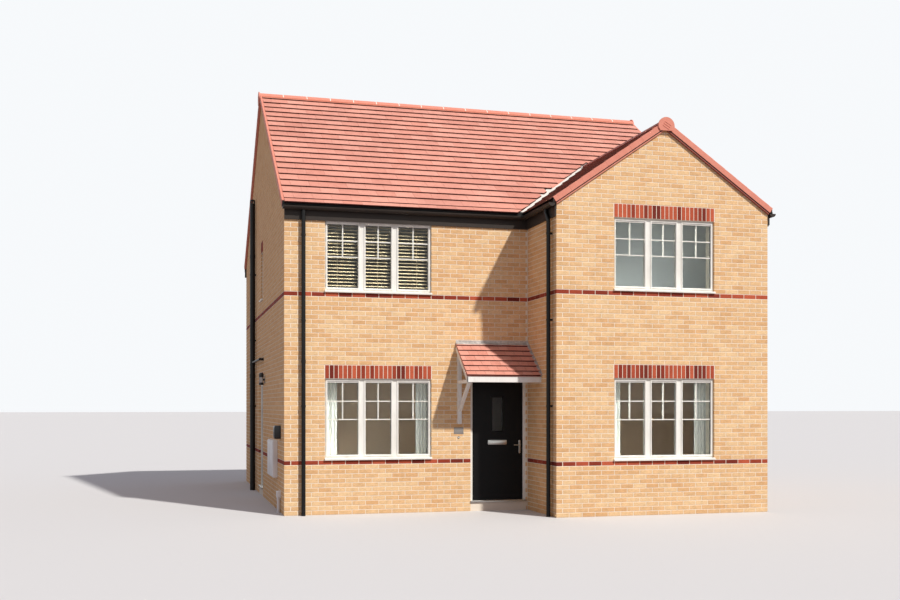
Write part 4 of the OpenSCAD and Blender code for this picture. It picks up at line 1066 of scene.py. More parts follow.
brackets = bmesh.new()
hook = arc(GUTTER_R + 0.0025, 200, 340, 12) + arc(GUTTER_R - 0.001, 340, 200, 12)
for start, along, length in (
    ((LEFT, FRONT - GUTTER_AXIS, GUTTER_Z), (1, 0, 0), CORNER - LEFT - 0.2),
    ((CORNER - GUTTER_AXIS, FRONT - 0.15, GUTTER_Z), (0, -1, 0), RETURN_DEEP - 0.2),
    ((RIGHT + GUTTER_AXIS, GABLE, GUTTER_Z), (0, 1, 0), RETURN_DEEP),
    ((RIGHT, REAR + GUTTER_AXIS, GUTTER_Z), (-1, 0, 0), MAIN_WIDE),
):
    start, along = Vector(start), Vector(along)
    heading = math.atan2(along.y, along.x)
    count = max(2, round(length / BRACKET_STEP))
    for i in range(count):
        place = start + along * (BRACKET_IN + (length - 2 * BRACKET_IN) * i / (count - 1))
        prism(brackets, hook, -BRACKET_HALF, BRACKET_HALF, standing(place, heading))
    joiner = standing(start + along * (length * JOINER_AT), heading)
    prism(brackets, hook, -JOINER_HALF, JOINER_HALF,
          joiner @ Matrix.Diagonal((1, JOINER_SWELL, JOINER_SWELL, 1)))
# boxes close the eaves at both rear corners and at the wing
for x, y in ((LEFT - 0.022, REAR - 0.020), (RIGHT + 0.022, REAR - 0.020)):
    prism(brackets, rectangle(y - END_BOX_DEEP, y + END_BOX_DEEP, END_BOX_FOOT, END_BOX_TOP),
          x - END_BOX_WIDE, x + END_BOX_WIDE)
(near, far), (wall_side, outside) = WING_BOX
prism(brackets, rectangle(GABLE + near, GABLE + far, END_BOX_FOOT, WING_BOX_TOP),
      RIGHT + wall_side, RIGHT + outside)
fix("gutter_brackets", brackets, grey_paint, "black_plastic")

trays = bmesh.new()
for x, y, heading, length in (
    (west + 0.002, south, 0.0, CORNER - LEFT - 0.03),
    (CORNER - EAVES_OUT, FRONT - 0.07, -math.pi / 2, RETURN_DEEP - 0.03),
    (RIGHT + EAVES_OUT, gable_line + 0.002, math.pi / 2, RETURN_DEEP + VERGE_OUT),
    (east - 0.002, north, math.pi, MAIN_WIDE + 2 * VERGE_OUT - 0.004),
):
    prism(trays, TRAY, 0, length, standing((x, y, edge_z), heading))
fix("eaves_trays", trays, black_paint, "black_plastic")

# Windows.
# White moulded frames with a sash to each light, sealed glass with glazing bars stuck on
# both its faces, black gaskets, and a sill that falls outwards.
FRAME_Y, FRAME_BACK, SASH_Y, GLASS_Y, GLASS_BACK, SILL = 0.040, 0.110, 0.028, 0.063, 0.087, 0.036
EDGE, SASH, MULLION_IN, FRAME_SHOWS, HEAD_BEAD, BITE = 0.050, 0.030, 0.029, 0.018, 0.018, 0.002
BAR, BAR_OUT, BAR_DROP, BAR_CHAMFER, STUCK = 0.009, 0.009, 0.022, 0.003, 0.0004
WIDE_LIGHTS = ((EDGE, 0.560), (0.690, 1.120), (1.250, WIDE - EDGE))
FRAME_PROFILE = [
    (0, FRAME_BACK), (0, 0.042), (0.002, FRAME_Y), (0.020, FRAME_Y), (0.023, 0.043),
    (0.023, FRAME_BACK),
]
SASH_PROFILE = [
    (0, 0.100), (0, 0.031), (0.003, SASH_Y), (0.018, SASH_Y), (0.022, 0.0295),
    (0.0255, 0.034), (0.027, 0.042), (0.030, 0.046), (0.030, 0.100),
]
GASKET_PROFILE = [(-0.001, 0.058), (0.0035, 0.061), (0.0035, 0.0635), (-0.001, 0.0635)]
SILL_NOSE = [
    (-0.038, 0.0), (-0.038, 0.024), (-0.034, 0.029), (0.0, SILL), (0.0, 0.0), (-0.026, 0.0),
    (-0.028, 0.004), (-0.033, 0.004), (-0.035, 0.0),
]
SILL_BODY = [(-0.0005, 0.0), (-0.0005, SILL), (FRAME_BACK, SILL), (FRAME_BACK, 0.0)]
STOREYS = ((LOW_SILL, LOW_HEAD), (UP_SILL, UP_HEAD))
WINDOWS = {
    "front_windows": [(face, along, sill, WIDE, head)
                      for face, along in (("front", FRONT_WINDOW), ("wing", GABLE_WINDOW))
                      for sill, head in STOREYS],
    "rear_windows": [("rear", along, sill, WIDE, head)
                     for along in REAR_WINDOWS for sill, head in STOREYS],
    "side_window": [("left", SIDE_DOOR, SIDE_SILL, SIDE_WINDOW_W, SIDE_HEAD)],
}


def at(face, along, up, width=0.0):
    """The frame of an opening: x to the right seen from outside, y into the wall."""
    if face == "front":
        return standing((LEFT + along, FRONT, up))
    if face == "wing":
        return standing((CORNER + along, GABLE, up))
    if face == "rear":
        return standing((RIGHT - along, REAR, up), math.pi)
    return standing((LEFT, FRONT + along + width, up), -math.pi / 2)


def mitred(shape, x, z, profile, matrix, closed=True):
    """A profile of (inset, depth) run round a rectangle, or up and over a doorway."""
    corners = [(x[0], 1, z[0], 1), (x[0], 1, z[1], -1), (x[1], -1, z[1], -1), (x[1], -1, z[0], 1)]
    loops = []
    for number, (cx, sx, cz, sz) in enumerate(corners):
        rise = 0 if not closed and number in (0, 3) else sz
        loops.append([matrix @ Vector((cx + sx * d, y, cz + rise * d)) for d, y in profile])
    loft(shape, loops, closed)


def pour(part, shape, matrix=Matrix()):
    """Adds a finished part to a shape, and lets the part go."""
    part.transform(matrix)
    mesh = plain_mesh("part", part)
    shape.from_mesh(mesh)
    bpy.data.meshes.remove(mesh)


def block(shape, low, high, cut, matrix=Matrix()):
    """A box with cut edges."""
    part = bmesh.new()
    bmesh.ops.create_cube(part, size=1)
    bmesh.ops.scale(part, vec=Vector(high) - Vector(low), verts=part.verts)
    bmesh.ops.translate(part, vec=(Vector(high) + Vector(low)) / 2, verts=part.verts)
    bmesh.ops.bevel(part, geom=part.edges[:], offset=cut, segments=2 if cut > 0.002 else 1,
                    affect="EDGES")
    pour(part, shape, matrix)


def lights_of(width):
    """The glass of each light across a window."""
    return WIDE_LIGHTS if width == WIDE else ((EDGE, width - EDGE),)


# weathering shared by the painted and moulded white and black finishes
weather, given, results = shader_group("weathering", ["Scale"], ["Grime", "Micro"])
place = add(weather, "ShaderNodeTexCoord").outputs["Object"]
run = squeezed(weather, place, (1.0, 1.0, 0.25))
feed(weather, results, {
    "Grime": noise(weather, run, given["Scale"], 6.0, 0.6),
    "Micro": noise(weather, place, 260.0, 2.0),
})


def weathered(name, clean, worn, rough, depth, scale=8.0):
    """A painted or moulded finish between its clean and its worn colour."""
    paint, tree, shader, _ = finish_coat(name)
    wear = add(tree, "ShaderNodeGroup", {"Scale": scale}, node_tree=weather).outputs
    feed(tree, shader, {
        "Base Color": ramp(tree, wear["Grime"], [(0.42, clean), (0.72, worn)]),
        "Roughness": math_node(tree, "MULTIPLY_ADD", wear["Grime"], 0.2, rough - 0.1),
    })
    bump(tree, shader, wear["Micro"], depth, 0.3)
    return paint


white_paint = weathered("white_moulding", srgb(251, 250, 242), srgb(236, 234, 224), 0.32, 0.0002)
gasket_paint = weathered("black_gasket", srgb(26, 26, 26), srgb(44, 43, 41), 0.6, 0.0003)

glass_paint, tree, shader, place = finish_coat("clear_glass")
ripple = noise(tree, place, 1.6, 1.0)
feed(tree, shader, {
    "Base Color": (0.93, 0.96, 0.95, 1), "Transmission Weight": 1.0, "IOR": 1.3,
    "Roughness": math_node(tree, "MULTIPLY", ripple, 0.02),
})
bump(tree, shader, ripple, 0.004, 0.25)
through = add(tree, "ShaderNodeBsdfTransparent", {"Color": (0.86, 0.89, 0.88, 1)})
shadow = add(tree, "ShaderNodeLightPath").outputs["Is Shadow Ray"]
blend = add(tree, "ShaderNodeMixShader", {
    "Fac": shadow, 1: shader.outputs[0], 2: through.outputs[0],
})
feed(tree, tree.nodes["Material Output"], {"Surface": blend.outputs[0]})
paint_nodes(glass_paint, "window_glass")

gaskets, sills = bmesh.new(), bmesh.new()
for node_name, windows in WINDOWS.items():
    frames = bmesh.new()
    for face, along, sill, width, head in windows:
        here = at(face, along, sill, width)
        high = head - sill
        low, top = SILL + EDGE, high - EDGE
        middle, quarter = (low + top) / 2 - BAR_DROP, (low + 3 * top) / 4 - BAR_DROP
        lights = lights_of(width)
        mitred(frames, (0, width), (SILL, high), FRAME_PROFILE, here)
        for (_, a), (b, _) in zip(lights, lights[1:]):
            block(frames, (a + MULLION_IN, FRAME_Y, SILL + FRAME_SHOWS),
                  (b - MULLION_IN, FRAME_BACK, high - FRAME_SHOWS), 0.0015, here)
        for a, b in lights:
            mitred(frames, (a - SASH, b + SASH), (low - SASH, top + SASH), SASH_PROFILE, here)
            mitred(gaskets, (a, b), (low, top - HEAD_BEAD), GASKET_PROFILE, here)
            block(frames, (a - BITE, SASH_Y + 0.016, top - HEAD_BEAD),
                  (b + BITE, GLASS_Y + STUCK, top + BITE), 0.002, here)
            x = (a + b) / 2
            for y0, y1 in ((GLASS_Y - BAR_OUT, GLASS_Y + STUCK),
                           (GLASS_BACK - STUCK, GLASS_BACK + BAR_OUT)):
                for z in (middle, quarter):
                    block(frames, (a - BITE, y0, z - BAR), (b + BITE, y1, z + BAR),
                          BAR_CHAMFER, here)
                block(frames, (x - BAR, y0 + 0.0006, middle), (x + BAR, y1 - 0.0001, top + BITE),
                      BAR_CHAMFER, here)
        prism(sills, SILL_NOSE, -0.005, width + 0.005, here)
        prism(sills, SILL_BODY, 0.0005, width - 0.0005, here)
    fix(node_name + "_frames", frames, white_paint, "white_frame", "house", node_name)
fix("window_gaskets", gaskets, gasket_paint, "black_plastic")
fix("window_sill_mouldings", sills, white_paint, "white_frame", "house", "window_sills")

# Front door.
# A black moulded leaf in a white frame, hung on three butt hinges, with a narrow pane of
# obscured glass, a steel letter plate, and a lever handle on a long round-ended plate.
DOOR_FOOT, DOOR_HEAD, JAMB, JAMB_Y = 0.15, 2.1, 0.036, 0.057
LEAF_Y, LEAF_BACK, LEAF_X, LEAF_Z, LEAF_TOP = 0.064, 0.108, 0.043, 0.037, 2.057
SLOT_W, SLOT_H, SLOT_Z = 0.190, 0.586, 1.215
LETTER_W, LETTER_H, LETTER_Z, FLAP_HINGE = 0.340, 0.078, 1.020, 0.13
PLATE_Z, BACKSET, PLATE_T, SPINDLE_UP, CYLINDER_DOWN = 0.942, 0.101, 0.008, 0.030, 0.062
SCREW_UP, GRIP_OUT, GRIP_LONG, GRIP_R = 0.103, 0.048, 0.112, 0.009
HINGES, HINGE_X, HINGE_Y, KNUCKLE_R = (0.287, 1.047, 1.707), 0.0395, 0.117, 0.008
KNUCKLE_LOW, KNUCKLE_HIGH = (0.0, 0.0498), (0.0502, 0.100)
THRESHOLD_RIBS, RIB_PITCH, RIB_ROOT, RIB_CREST = 5, 0.012, 0.0265, 0.0290
DOOR_PROFILE = [
    (0, LEAF_BACK), (0, 0.037), (0.002, 0.035), (0.043, 0.035), (0.048, 0.040),
    (0.048, JAMB_Y), (JAMB, JAMB_Y), (JAMB, LEAF_BACK),
]


def rod(shape, a, b, radius, matrix=Matrix(), end=None, sides=24):
    """A round bar between two points."""
    a, b = Vector(a), Vector(b)
    turn = (b - a).to_track_quat("Z", "Y").to_matrix().to_4x4()
    bmesh.ops.create_cone(
        shape, cap_ends=True, segments=sides, radius1=radius,
        radius2=radius if end is None else end, depth=(b - a).length,
        matrix=matrix @ Matrix.Translation((a + b) / 2) @ turn,
    )


def ball(shape, centre, radius, matrix=Matrix()):
    """A round knob or bend."""
    bmesh.ops.create_uvsphere(shape, u_segments=24, v_segments=12, radius=radius,
                              matrix=matrix @ Matrix.Translation(centre))


def knuckles(shape, span, here):
    """One half of each hinge's barrel, between two heights over the hinge's foot."""
    for z in HINGES:
        rod(shape, (HINGE_X, HINGE_Y, z + span[0]), (HINGE_X, HINGE_Y, z + span[1]),
            KNUCKLE_R, here)


def surround(name, width, here, node):
    """The fixed frame of a doorway with the lower knuckles, and its ribbed metal threshold."""
    frame_shape, sill_shape = bmesh.new(), bmesh.new()
    mitred(frame_shape, (0, width), (0, DOOR_HEAD), DOOR_PROFILE, here, closed=False)
    knuckles(frame_shape, KNUCKLE_LOW, here)
    outline = [(-0.025, 0.0), (-0.025, 0.020), (-0.020, 0.026)]
    for i in range(THRESHOLD_RIBS):
        rib_at = i * RIB_PITCH
        outline += [(-0.012 + rib_at, RIB_ROOT), (-0.010 + rib_at, RIB_CREST),
                    (-0.006 + rib_at, RIB_CREST), (-0.004 + rib_at, RIB_ROOT)]
    outline += [(0.058, 0.030), (LEAF_BACK, 0.030), (LEAF_BACK, 0.0)]
    prism(sill_shape, outline, 0, width, here)
    fix(name + "_surround", frame_shape, white_paint, "white_frame", "house", node)
    fix(name + "_threshold", sill_shape, steel_paint, "steel")


def leaf_with_hole(shape, x, z, y, hole_x, hole_z, here):
    """A door leaf with a rectangular hole, its outer edges eased."""
    part = bmesh.new()
    xs, zs = (x[0], *hole_x, x[1]), (z[0], *hole_z, z[1])
    grid = {(i, j, k): part.verts.new((xs[i], y[k], zs[j]))
            for i in range(4) for j in range(4) for k in (0, 1)}
    for i in range(3):
        for j in range(3):
            if (i, j) != (1, 1):
                for k in (0, 1):
                    part.faces.new([grid[p] for p in (
                        (i, j, k), (i + 1, j, k), (i + 1, j + 1, k), (i, j + 1, k))])
    edges = [((i, j), (i + 1, j)) for j in (0, 3) for i in range(3)]
    edges += [((i, j), (i, j + 1)) for i in (0, 3) for j in range(3)]
    edges += [((1, 1), (2, 1)), ((1, 2), (2, 2)), ((1, 1), (1, 2)), ((2, 1), (2, 2))]
    for p, q in edges:
        part.faces.new([grid[(*p, 0)], grid[(*q, 0)], grid[(*q, 1)], grid[(*p, 1)]])
    bmesh.ops.recalc_face_normals(part, faces=part.faces)
    sharp = [e for e in part.edges if e.calc_face_angle(0) > 1]
    bmesh.ops.bevel(part, geom=sharp, offset=0.002, segments=2, affect="EDGES")
    pour(part, shape, here)


def plate(shape, centre, width, high, thick, y, here, corner=None, edge=0.0015):
    """A plate with rounded corners and eased edges, facing outside at y."""
    side, thick = (1, thick) if thick > 0 else (-1, -thick)
    radius = corner if corner is not None else width / 2
    loops = []
    for inset, deep in ((0, 0.0), (0, thick - edge), (edge * 0.3, thick - edge * 0.3),
                        (edge, thick)):
        r = max(radius - inset, 0.0005)
        w, h = width / 2 - inset - r, high / 2 - inset - r
        loop = []
        for cx, cz, start in ((w, h, 0), (-w, h, 90), (-w, -h, 180), (w, -h, 270)):
            loop += [(centre[0] + cx + px, y - side * deep, centre[1] + cz + pz)
                     for px, pz in arc(r, start, start + 90, 6)]
        loops.append([here @ Vector(p) for p in loop])
    loft(shape, loops)


def leaf_fittings(width, here):
    """A lever handle on both faces of a leaf, and the upper knuckles with their plates."""
    shape = bmesh.new()
    knuckles(shape, KNUCKLE_HIGH, here)
    for z in HINGES:
        block(shape, (HINGE_X + 0.001, LEAF_BACK, z + 0.0504),
              (HINGE_X + 0.045, LEAF_BACK + 0.003, z + 0.1004), 0.0008, here)
    x, spindle, cylinder = width - BACKSET, PLATE_Z + SPINDLE_UP, PLATE_Z - CYLINDER_DOWN
    for side, face in ((1, LEAF_Y), (-1, LEAF_BACK)):
        plate(shape, (x, PLATE_Z), 0.032, 0.235, side * PLATE_T, face, here)
        out = face - side * GRIP_OUT
        rod(shape, (x, face, spindle), (x, face - side * 0.014, spindle), 0.0145, here)
        rod(shape, (x, face, spindle), (x, out, spindle), GRIP_R, here)
        ball(shape, (x, out, spindle), GRIP_R, here)
        rod(shape, (x, out, spindle), (x - GRIP_LONG, out, spindle), GRIP_R, here, 0.0075)
        ball(shape, (x - GRIP_LONG + 0.001, out, spindle), 0.0074, here)
        rod(shape, (x, face, cylinder), (x, face - side * 0.011, cylinder), 0.0095, here)
        for z in (PLATE_Z - SCREW_UP, PLATE_Z + SCREW_UP):
            rod(shape, (x, face, z), (x, face - side * 0.0088, z), 0.0035, here, sides=12)
    return shape


steel_paint, tree, shader, place = finish_coat("satin_steel")
brush = noise(tree, squeezed(tree, place, (4.0, 40.0, 90.0)), 30.0, 3.0)
feed(tree, shader, {
    "Base Color": mix(tree, brush, srgb(178, 176, 170), srgb(214, 212, 206)),
    "Roughness": math_node(tree, "MULTIPLY_ADD", brush, 0.2, 0.2), "Metallic": 1.0,
})
bump(tree, shader, brush, 0.0002, 0.3)

door_paint, tree, shader, place = finish_coat("black_door_skin")
grain_lines = noise(tree, squeezed(tree, place, (14.0, 14.0, 0.7)), 22.0, 5.0, distortion=0.4)
feed(tree, shader, {
    "Base Color": mix(tree, grain_lines, srgb(5, 5, 6), srgb(13, 13, 14)),
    "Roughness": math_node(tree, "MULTIPLY_ADD", grain_lines, 0.2, 0.4),
    "Specular IOR Level": 0.2,
})
bump(tree, shader, grain_lines, 0.0006, 0.5)

obscure_paint, tree, shader, place = finish_coat("obscured_glass")
pattern = add(tree, "ShaderNodeTexVoronoi", {"Vector": place, "Scale": 70.0}).outputs["Distance"]
feed(tree, shader, {
    "Base Color": (0.40, 0.42, 0.37, 1), "Transmission Weight": 1.0,
    "Roughness": math_node(tree, "MULTIPLY_ADD", pattern, 0.3, 0.25),
})
bump(tree, shader, pattern, 0.003, 0.6)
paint_nodes(obscure_paint, "front_door_glass")

here = at("front", DOOR_X, DOOR_FOOT)
surround("front_door", DOOR_W, here, "front_door_frame")
front_leaf, middle = bmesh.new(), DOOR_W / 2
slot_x, slot_z = ((DOOR_W - SLOT_W) / 2, (DOOR_W - SLOT_W) / 2 + SLOT_W), (SLOT_Z, SLOT_Z + SLOT_H)
leaf_with_hole(front_leaf, (LEAF_X, DOOR_W - LEAF_X), (LEAF_Z, LEAF_TOP), (LEAF_Y, LEAF_BACK),
               slot_x, slot_z, here)
for y, way in ((LEAF_Y, -1), (LEAF_BACK, 1)):
    mitred(front_leaf, slot_x, slot_z, [
        (-0.016, y), (-0.016, y + way * 0.003), (-0.011, y + way * 0.006),
        (-0.002, y + way * 0.006), (0.004, y), (0.004, y - way * 0.010),
        (-0.001, y - way * 0.010), (-0.001, y),
    ], here)
front_trim = leaf_fittings(DOOR_W, here)
plate(front_trim, (middle, LETTER_Z), LETTER_W, LETTER_H, 0.004, LEAF_Y, here, 0.012)
plate(front_trim, (middle, LETTER_Z), LETTER_W - 0.034, LETTER_H - 0.026, 0.008, LEAF_Y, here,
      0.006)
flap_y, flap_z = LEAF_Y - 0.005, LETTER_Z + 0.029
rod(front_trim, (middle - FLAP_HINGE, flap_y, flap_z), (middle + FLAP_HINGE, flap_y, flap_z),
    0.003, here, sides=12)
fix("front_door_leaf", front_leaf, door_paint, "black_door", "front_door", "front_door")
fix("front_door_fittings", front_trim, steel_paint, "steel", "front_door", "front_door_hardware")

# Side door.
# A white moulded leaf with two sunk panels in a white frame, and the same lever handle.
PANEL_IN, PANELS = 0.19, ((0.22, 0.86), (1.04, 1.90))
here = at("left", SIDE_DOOR, DOOR_FOOT, SIDE_DOOR_W)
surround("side_door", SIDE_DOOR_W, here, "side_door_frame")
side_leaf = bmesh.new()
block(side_leaf, (LEAF_X, LEAF_Y, LEAF_Z), (SIDE_DOOR_W - LEAF_X, LEAF_BACK, LEAF_TOP), 0.002, here)
for panel in PANELS:
    for y, way in ((LEAF_Y, -1), (LEAF_BACK, 1)):
        mitred(side_leaf, (PANEL_IN, SIDE_DOOR_W - PANEL_IN), panel, [
            (0, y - way * 0.001), (0, y + way * 0.002), (0.006, y + way * 0.005),
            (0.014, y + way * 0.005), (0.030, y + way * 0.001), (0.030, y - way * 0.001),
        ], here)
side_trim = leaf_fittings(SIDE_DOOR_W, here)
fix("side_door_leaf", side_leaf, white_paint, "white_frame", "side_door", "side_door")
fix("side_door_fittings", side_trim, steel_paint, "steel", "side_door", "side_door_handle")

# Porch canopy.
# A lean-to of small clay tiles on white painted boards, carried by the return wall and by
# one braced timber bracket.
CANOPY_X, CANOPY_OUT, CANOPY_Z, CANOPY_PITCH = LEFT + DOOR_X - 0.26, 0.69, 2.855, math.radians(38)
FALL, LEAN = math.tan(CANOPY_PITCH), math.cos(CANOPY_PITCH)
UNDER, OVER = 0.020 / LEAN + 0.0002, 0.021 / LEAN
BOARD, BOARD_DEEP, POST, POST_FOOT, BRACE_FOOT = 0.022, 0.088, 0.065, 1.49, 1.69
SMALL_COUNT, SMALL_GAUGE, SMALL_LENGTH = 8, 0.146, 0.20
SMALL_COVER = (CORNER - CANOPY_X) / SMALL_COUNT
SMALL_BUTTS = [-0.042] + [0.073 + i * SMALL_GAUGE for i in range(6)]
timber_paint = weathered("white_painted_timber", srgb(253, 252, 246), srgb(240, 238, 230),
                         0.45, 0.0006, 14.0)


def roof_at(y, drop=0.0):
    """Height of the canopy's roof plane at a distance before the wall."""
    return CANOPY_Z - y * FALL - drop


def leaning(out, upper, lower):
    """The outline of a board under the tiles, between two drops below the roof plane."""
    return [(out, roof_at(out, upper)), (0, roof_at(0, upper)), (0, roof_at(0, lower)),
            (out, roof_at(out, lower))]


def eased(shape, outline, a, b, cut=0.003):
    """A timber along x with eased edges, its outline in (distance before the wall, height)."""
    part = bmesh.new()
    prism(part, [(FRONT - y, z) for y, z in outline], a, b)
    bmesh.ops.recalc_face_normals(part, faces=part.faces)
    bmesh.ops.bevel(part, geom=part.edges[:], offset=cut, segments=2, affect="EDGES")
    pour(part, shape)


timber = bmesh.new()
front_y, post_x = CANOPY_OUT + 0.018, CANOPY_X + 0.025
back_y, foot = front_y - BOARD, roof_at(front_y, UNDER + BOARD_DEEP)
eased(timber, leaning(back_y, UNDER, UNDER + BOARD / LEAN), CANOPY_X + BOARD, CORNER, 0.001)
eased(timber, leaning(front_y, UNDER, UNDER + BOARD_DEEP), CANOPY_X, CANOPY_X + BOARD)
eased(timber, [(front_y, foot), (back_y, foot), (back_y, roof_at(back_y, UNDER)),
               (front_y, roof_at(front_y, UNDER))], CANOPY_X + 0.0005, CORNER)
eased(timber, [(POST, POST_FOOT), (0, POST_FOOT), (0, roof_at(0, UNDER + 0.01)),
               (POST, roof_at(POST, UNDER + 0.01))], post_x, post_x + POST)
eased(timber, rectangle(back_y + 0.004, 0.01, foot - 0.012, foot + 0.040),
      post_x + 0.001, post_x + POST - 0.001)
eased(timber, [(POST - 0.01, BRACE_FOOT), (POST - 0.01, BRACE_FOOT + POST),
               (back_y - POST, foot + 0.005), (back_y, foot + 0.005)],
      post_x + 0.004, post_x + POST - 0.004)
fix("canopy_timbers", timber, timber_paint, "white_timber", "house", "canopy_frame")

small_tile = wedge_tile("small_tile", SMALL_COVER - 0.0015, SMALL_LENGTH, 0.029, 0.0085,
                        0.003, 0.0018)
rows = slope_rows((CANOPY_X, FRONT - CANOPY_OUT + 0.002, roof_at(CANOPY_OUT)), (1, 0), (0, 1),
                  CANOPY_PITCH, SMALL_COUNT, SMALL_BUTTS, SMALL_COVER, 0.90, SMALL_LENGTH, 21)
small_tiles = grow("canopy_tiles", plan_of("canopy_tiles", rows), small_tile, tile_paint)
trim(small_tiles, (0, FRONT - 0.001, 0), (0, 1, 0))
settle(small_tiles, "roof_tile")
bpy.data.objects.remove(small_tile)

apron, reach = bmesh.new(), CANOPY_OUT + 0.050
prism(apron, [
    (FRONT, CANOPY_Z - 0.01), (FRONT, CANOPY_Z + 0.062), (FRONT - 0.004, CANOPY_Z + 0.062),
    (FRONT - 0.005, CANOPY_Z + OVER), (FRONT - 0.052, roof_at(0.052) + OVER),
    (FRONT - 0.053, roof_at(0.053) + OVER - 0.004), (FRONT - 0.006, CANOPY_Z + OVER - 0.006),
], CANOPY_X, CORNER)
for low, top, wide in ((0.004, OVER + 0.050, 0.004), (OVER - 0.003, OVER + 0.002, 0.030)):
    corners = ((0, low), (0, top), (reach, top), (reach, low))
    prism(apron, [(FRONT - y, roof_at(y) + up) for y, up in corners], CORNER - wide, CORNER)
fix("canopy_lead", apron, lead_paint, "lead", "house", "canopy_flashing")

# Fittings on the walls.
# Meter boxes, car charger, service duct, lantern and soil pipe on the left wall, and a
# bare plaque over a bell push beside the front door.
METER_AT, METER_FOOT, METER_STEP = 1.52, 0.56, 0.504
METER_WIDE, METER_HIGH, METER_Y, METER_DOOR_IN = 0.49, 0.64, -0.080, 0.012
CASE_WIDE, CASE_HIGH = 0.19, 0.226
DUCT_Y, DUCT_TOP, LAMP_Y, LAMP_R, LAMP_BARS = -0.036, 0.256, -0.072, 0.046, 0.042
STACK_Y, STACK_TOP, CAGE_R, WASTE_R = -0.075, 6.06, 0.048, 0.026
PLAQUE_WIDE, PLAQUE_HIGH, BELL_Z = 0.168, 0.112, -0.060
box_paint = weathered("meter_box_moulding", srgb(251, 251, 250), srgb(234, 234, 230), 0.5, 0.0004)
charger_paint = weathered("charger_moulding", srgb(20, 20, 21), srgb(36, 36, 36),
                          0.3, 0.0003, 12.0)
lantern_paint = weathered("lantern_enamel", srgb(20, 20, 20), srgb(40, 38, 36),
                          0.4, 0.0004, 20.0)
plaque_paint = mottled("bare_slate", 38.0, 8.0, srgb(128, 124, 120), srgb(160, 154, 148),
                       0.6, 0.001, 0.5, roughness=0.7)
lens_paint = mottled("frosted_lens", 90.0, 2.0, srgb(206, 208, 206), srgb(226, 228, 226),
                     0.35, 0.0004, 0.5)


def peg(shape, x, y, low, top, radius, here, end=None, sides=24):
    """An upright rod between two heights."""
    rod(shape, (x, y, low), (x, y, top), radius, here, end, sides)


def stud(shape, x, z, back, front, radius, here, end=None, sides=24):
    """A rod that stands out from the wall."""
    rod(shape, (x, back, z), (x, front, z), radius, here, end, sides)


boxes = bmesh.new()
for i in (0, 1):
    here = at("left", METER_AT + i * METER_STEP, METER_FOOT)
    block(boxes, (0, METER_Y, 0), (METER_WIDE, 0.0, METER_HIGH), 0.006, here)
    plate(boxes, (METER_WIDE / 2, METER_HIGH / 2), METER_WIDE - 2 * METER_DOOR_IN,
          METER_HIGH - 2 * METER_DOOR_IN, 0.010, METER_Y, here, 0.014, 0.004)
    mitred(boxes, (0.035, METER_WIDE - 0.035), (0.035, METER_HIGH - 0.035),
           [(0, -0.089), (0.003, -0.092), (0.010, -0.092), (0.013, -0.089)], here)
    plate(boxes, (0.40, METER_HIGH / 2), 0.034, 0.034, 0.012, METER_Y, here, 0.010, 0.002)
    for z in (0.12, 0.52):
        peg(boxes, 0.0115, -0.084, z - 0.03, z + 0.03, 0.0055, here, sides=12)
fix("meter_box_pair", boxes, box_paint, "white_box", "house", "meter_boxes")

charger, here = bmesh.new(), at("left", 0.5 + CASE_WIDE, 1.243)
x, z = CASE_WIDE / 2, CASE_HIGH / 2
plate(charger, (x, z), CASE_WIDE, CASE_HIGH, 0.112, 0.0, here, 0.030, 0.022)
plate(charger, (x, z), CASE_WIDE - 0.06, CASE_HIGH - 0.06, 0.116, 0.0, here, 0.022, 0.004)
stud(charger, x, 0.085, -0.108, -0.118, 0.034, here)
stud(charger, x, 0.165, -0.108, -0.1175, 0.006, here, sides=16)
fix("charger_case", charger, charger_paint, "black_plastic", "house", "car_charger")

duct, here = bmesh.new(), at("left", 0.56, 0)
plate(duct, (0.0, 0.312), 0.13, 0.118, 0.070, 0.0, here, 0.012, 0.006)
peg(duct, 0, DUCT_Y, 0, DUCT_TOP, 0.027, here)
peg(duct, 0, DUCT_Y, 0.215, DUCT_TOP, 0.031, here)
stud(duct, 0, 0.312, -0.070, -0.072, 0.007, here, sides=16)
fix("duct_cover", duct, box_paint, "white_box", "house", "service_duct")

lantern, lens, here = bmesh.new(), bmesh.new(), at("left", 3.48, 2.205)
peg(lantern, 0, LAMP_Y, 0.0, 0.046, LAMP_R, here)
peg(lantern, 0, LAMP_Y, 0.150, 0.202, LAMP_R, here)
peg(lantern, 0, LAMP_Y, 0.200, 0.235, 0.053, here, 0.030)
for i in range(4):
    turn = math.radians(45 + i * 90)
    peg(lantern, LAMP_BARS * math.cos(turn), LAMP_Y + LAMP_BARS * math.sin(turn), 0.04, 0.16,
        0.0035, here, sides=12)
block(lantern, (-0.020, -0.040, 0.085), (0.020, 0.0, 0.125), 0.003, here)
plate(lantern, (0, 0.105), 0.075, 0.15, 0.012, 0.0, here, 0.010, 0.003)
fix("lantern_case", lantern, lantern_paint, "black_metal", "house", "wall_lantern")
peg(lens, 0, LAMP_Y, 0.046, 0.150, 0.037, here)
fix("lantern_lens", lens, lens_paint, "white_box")

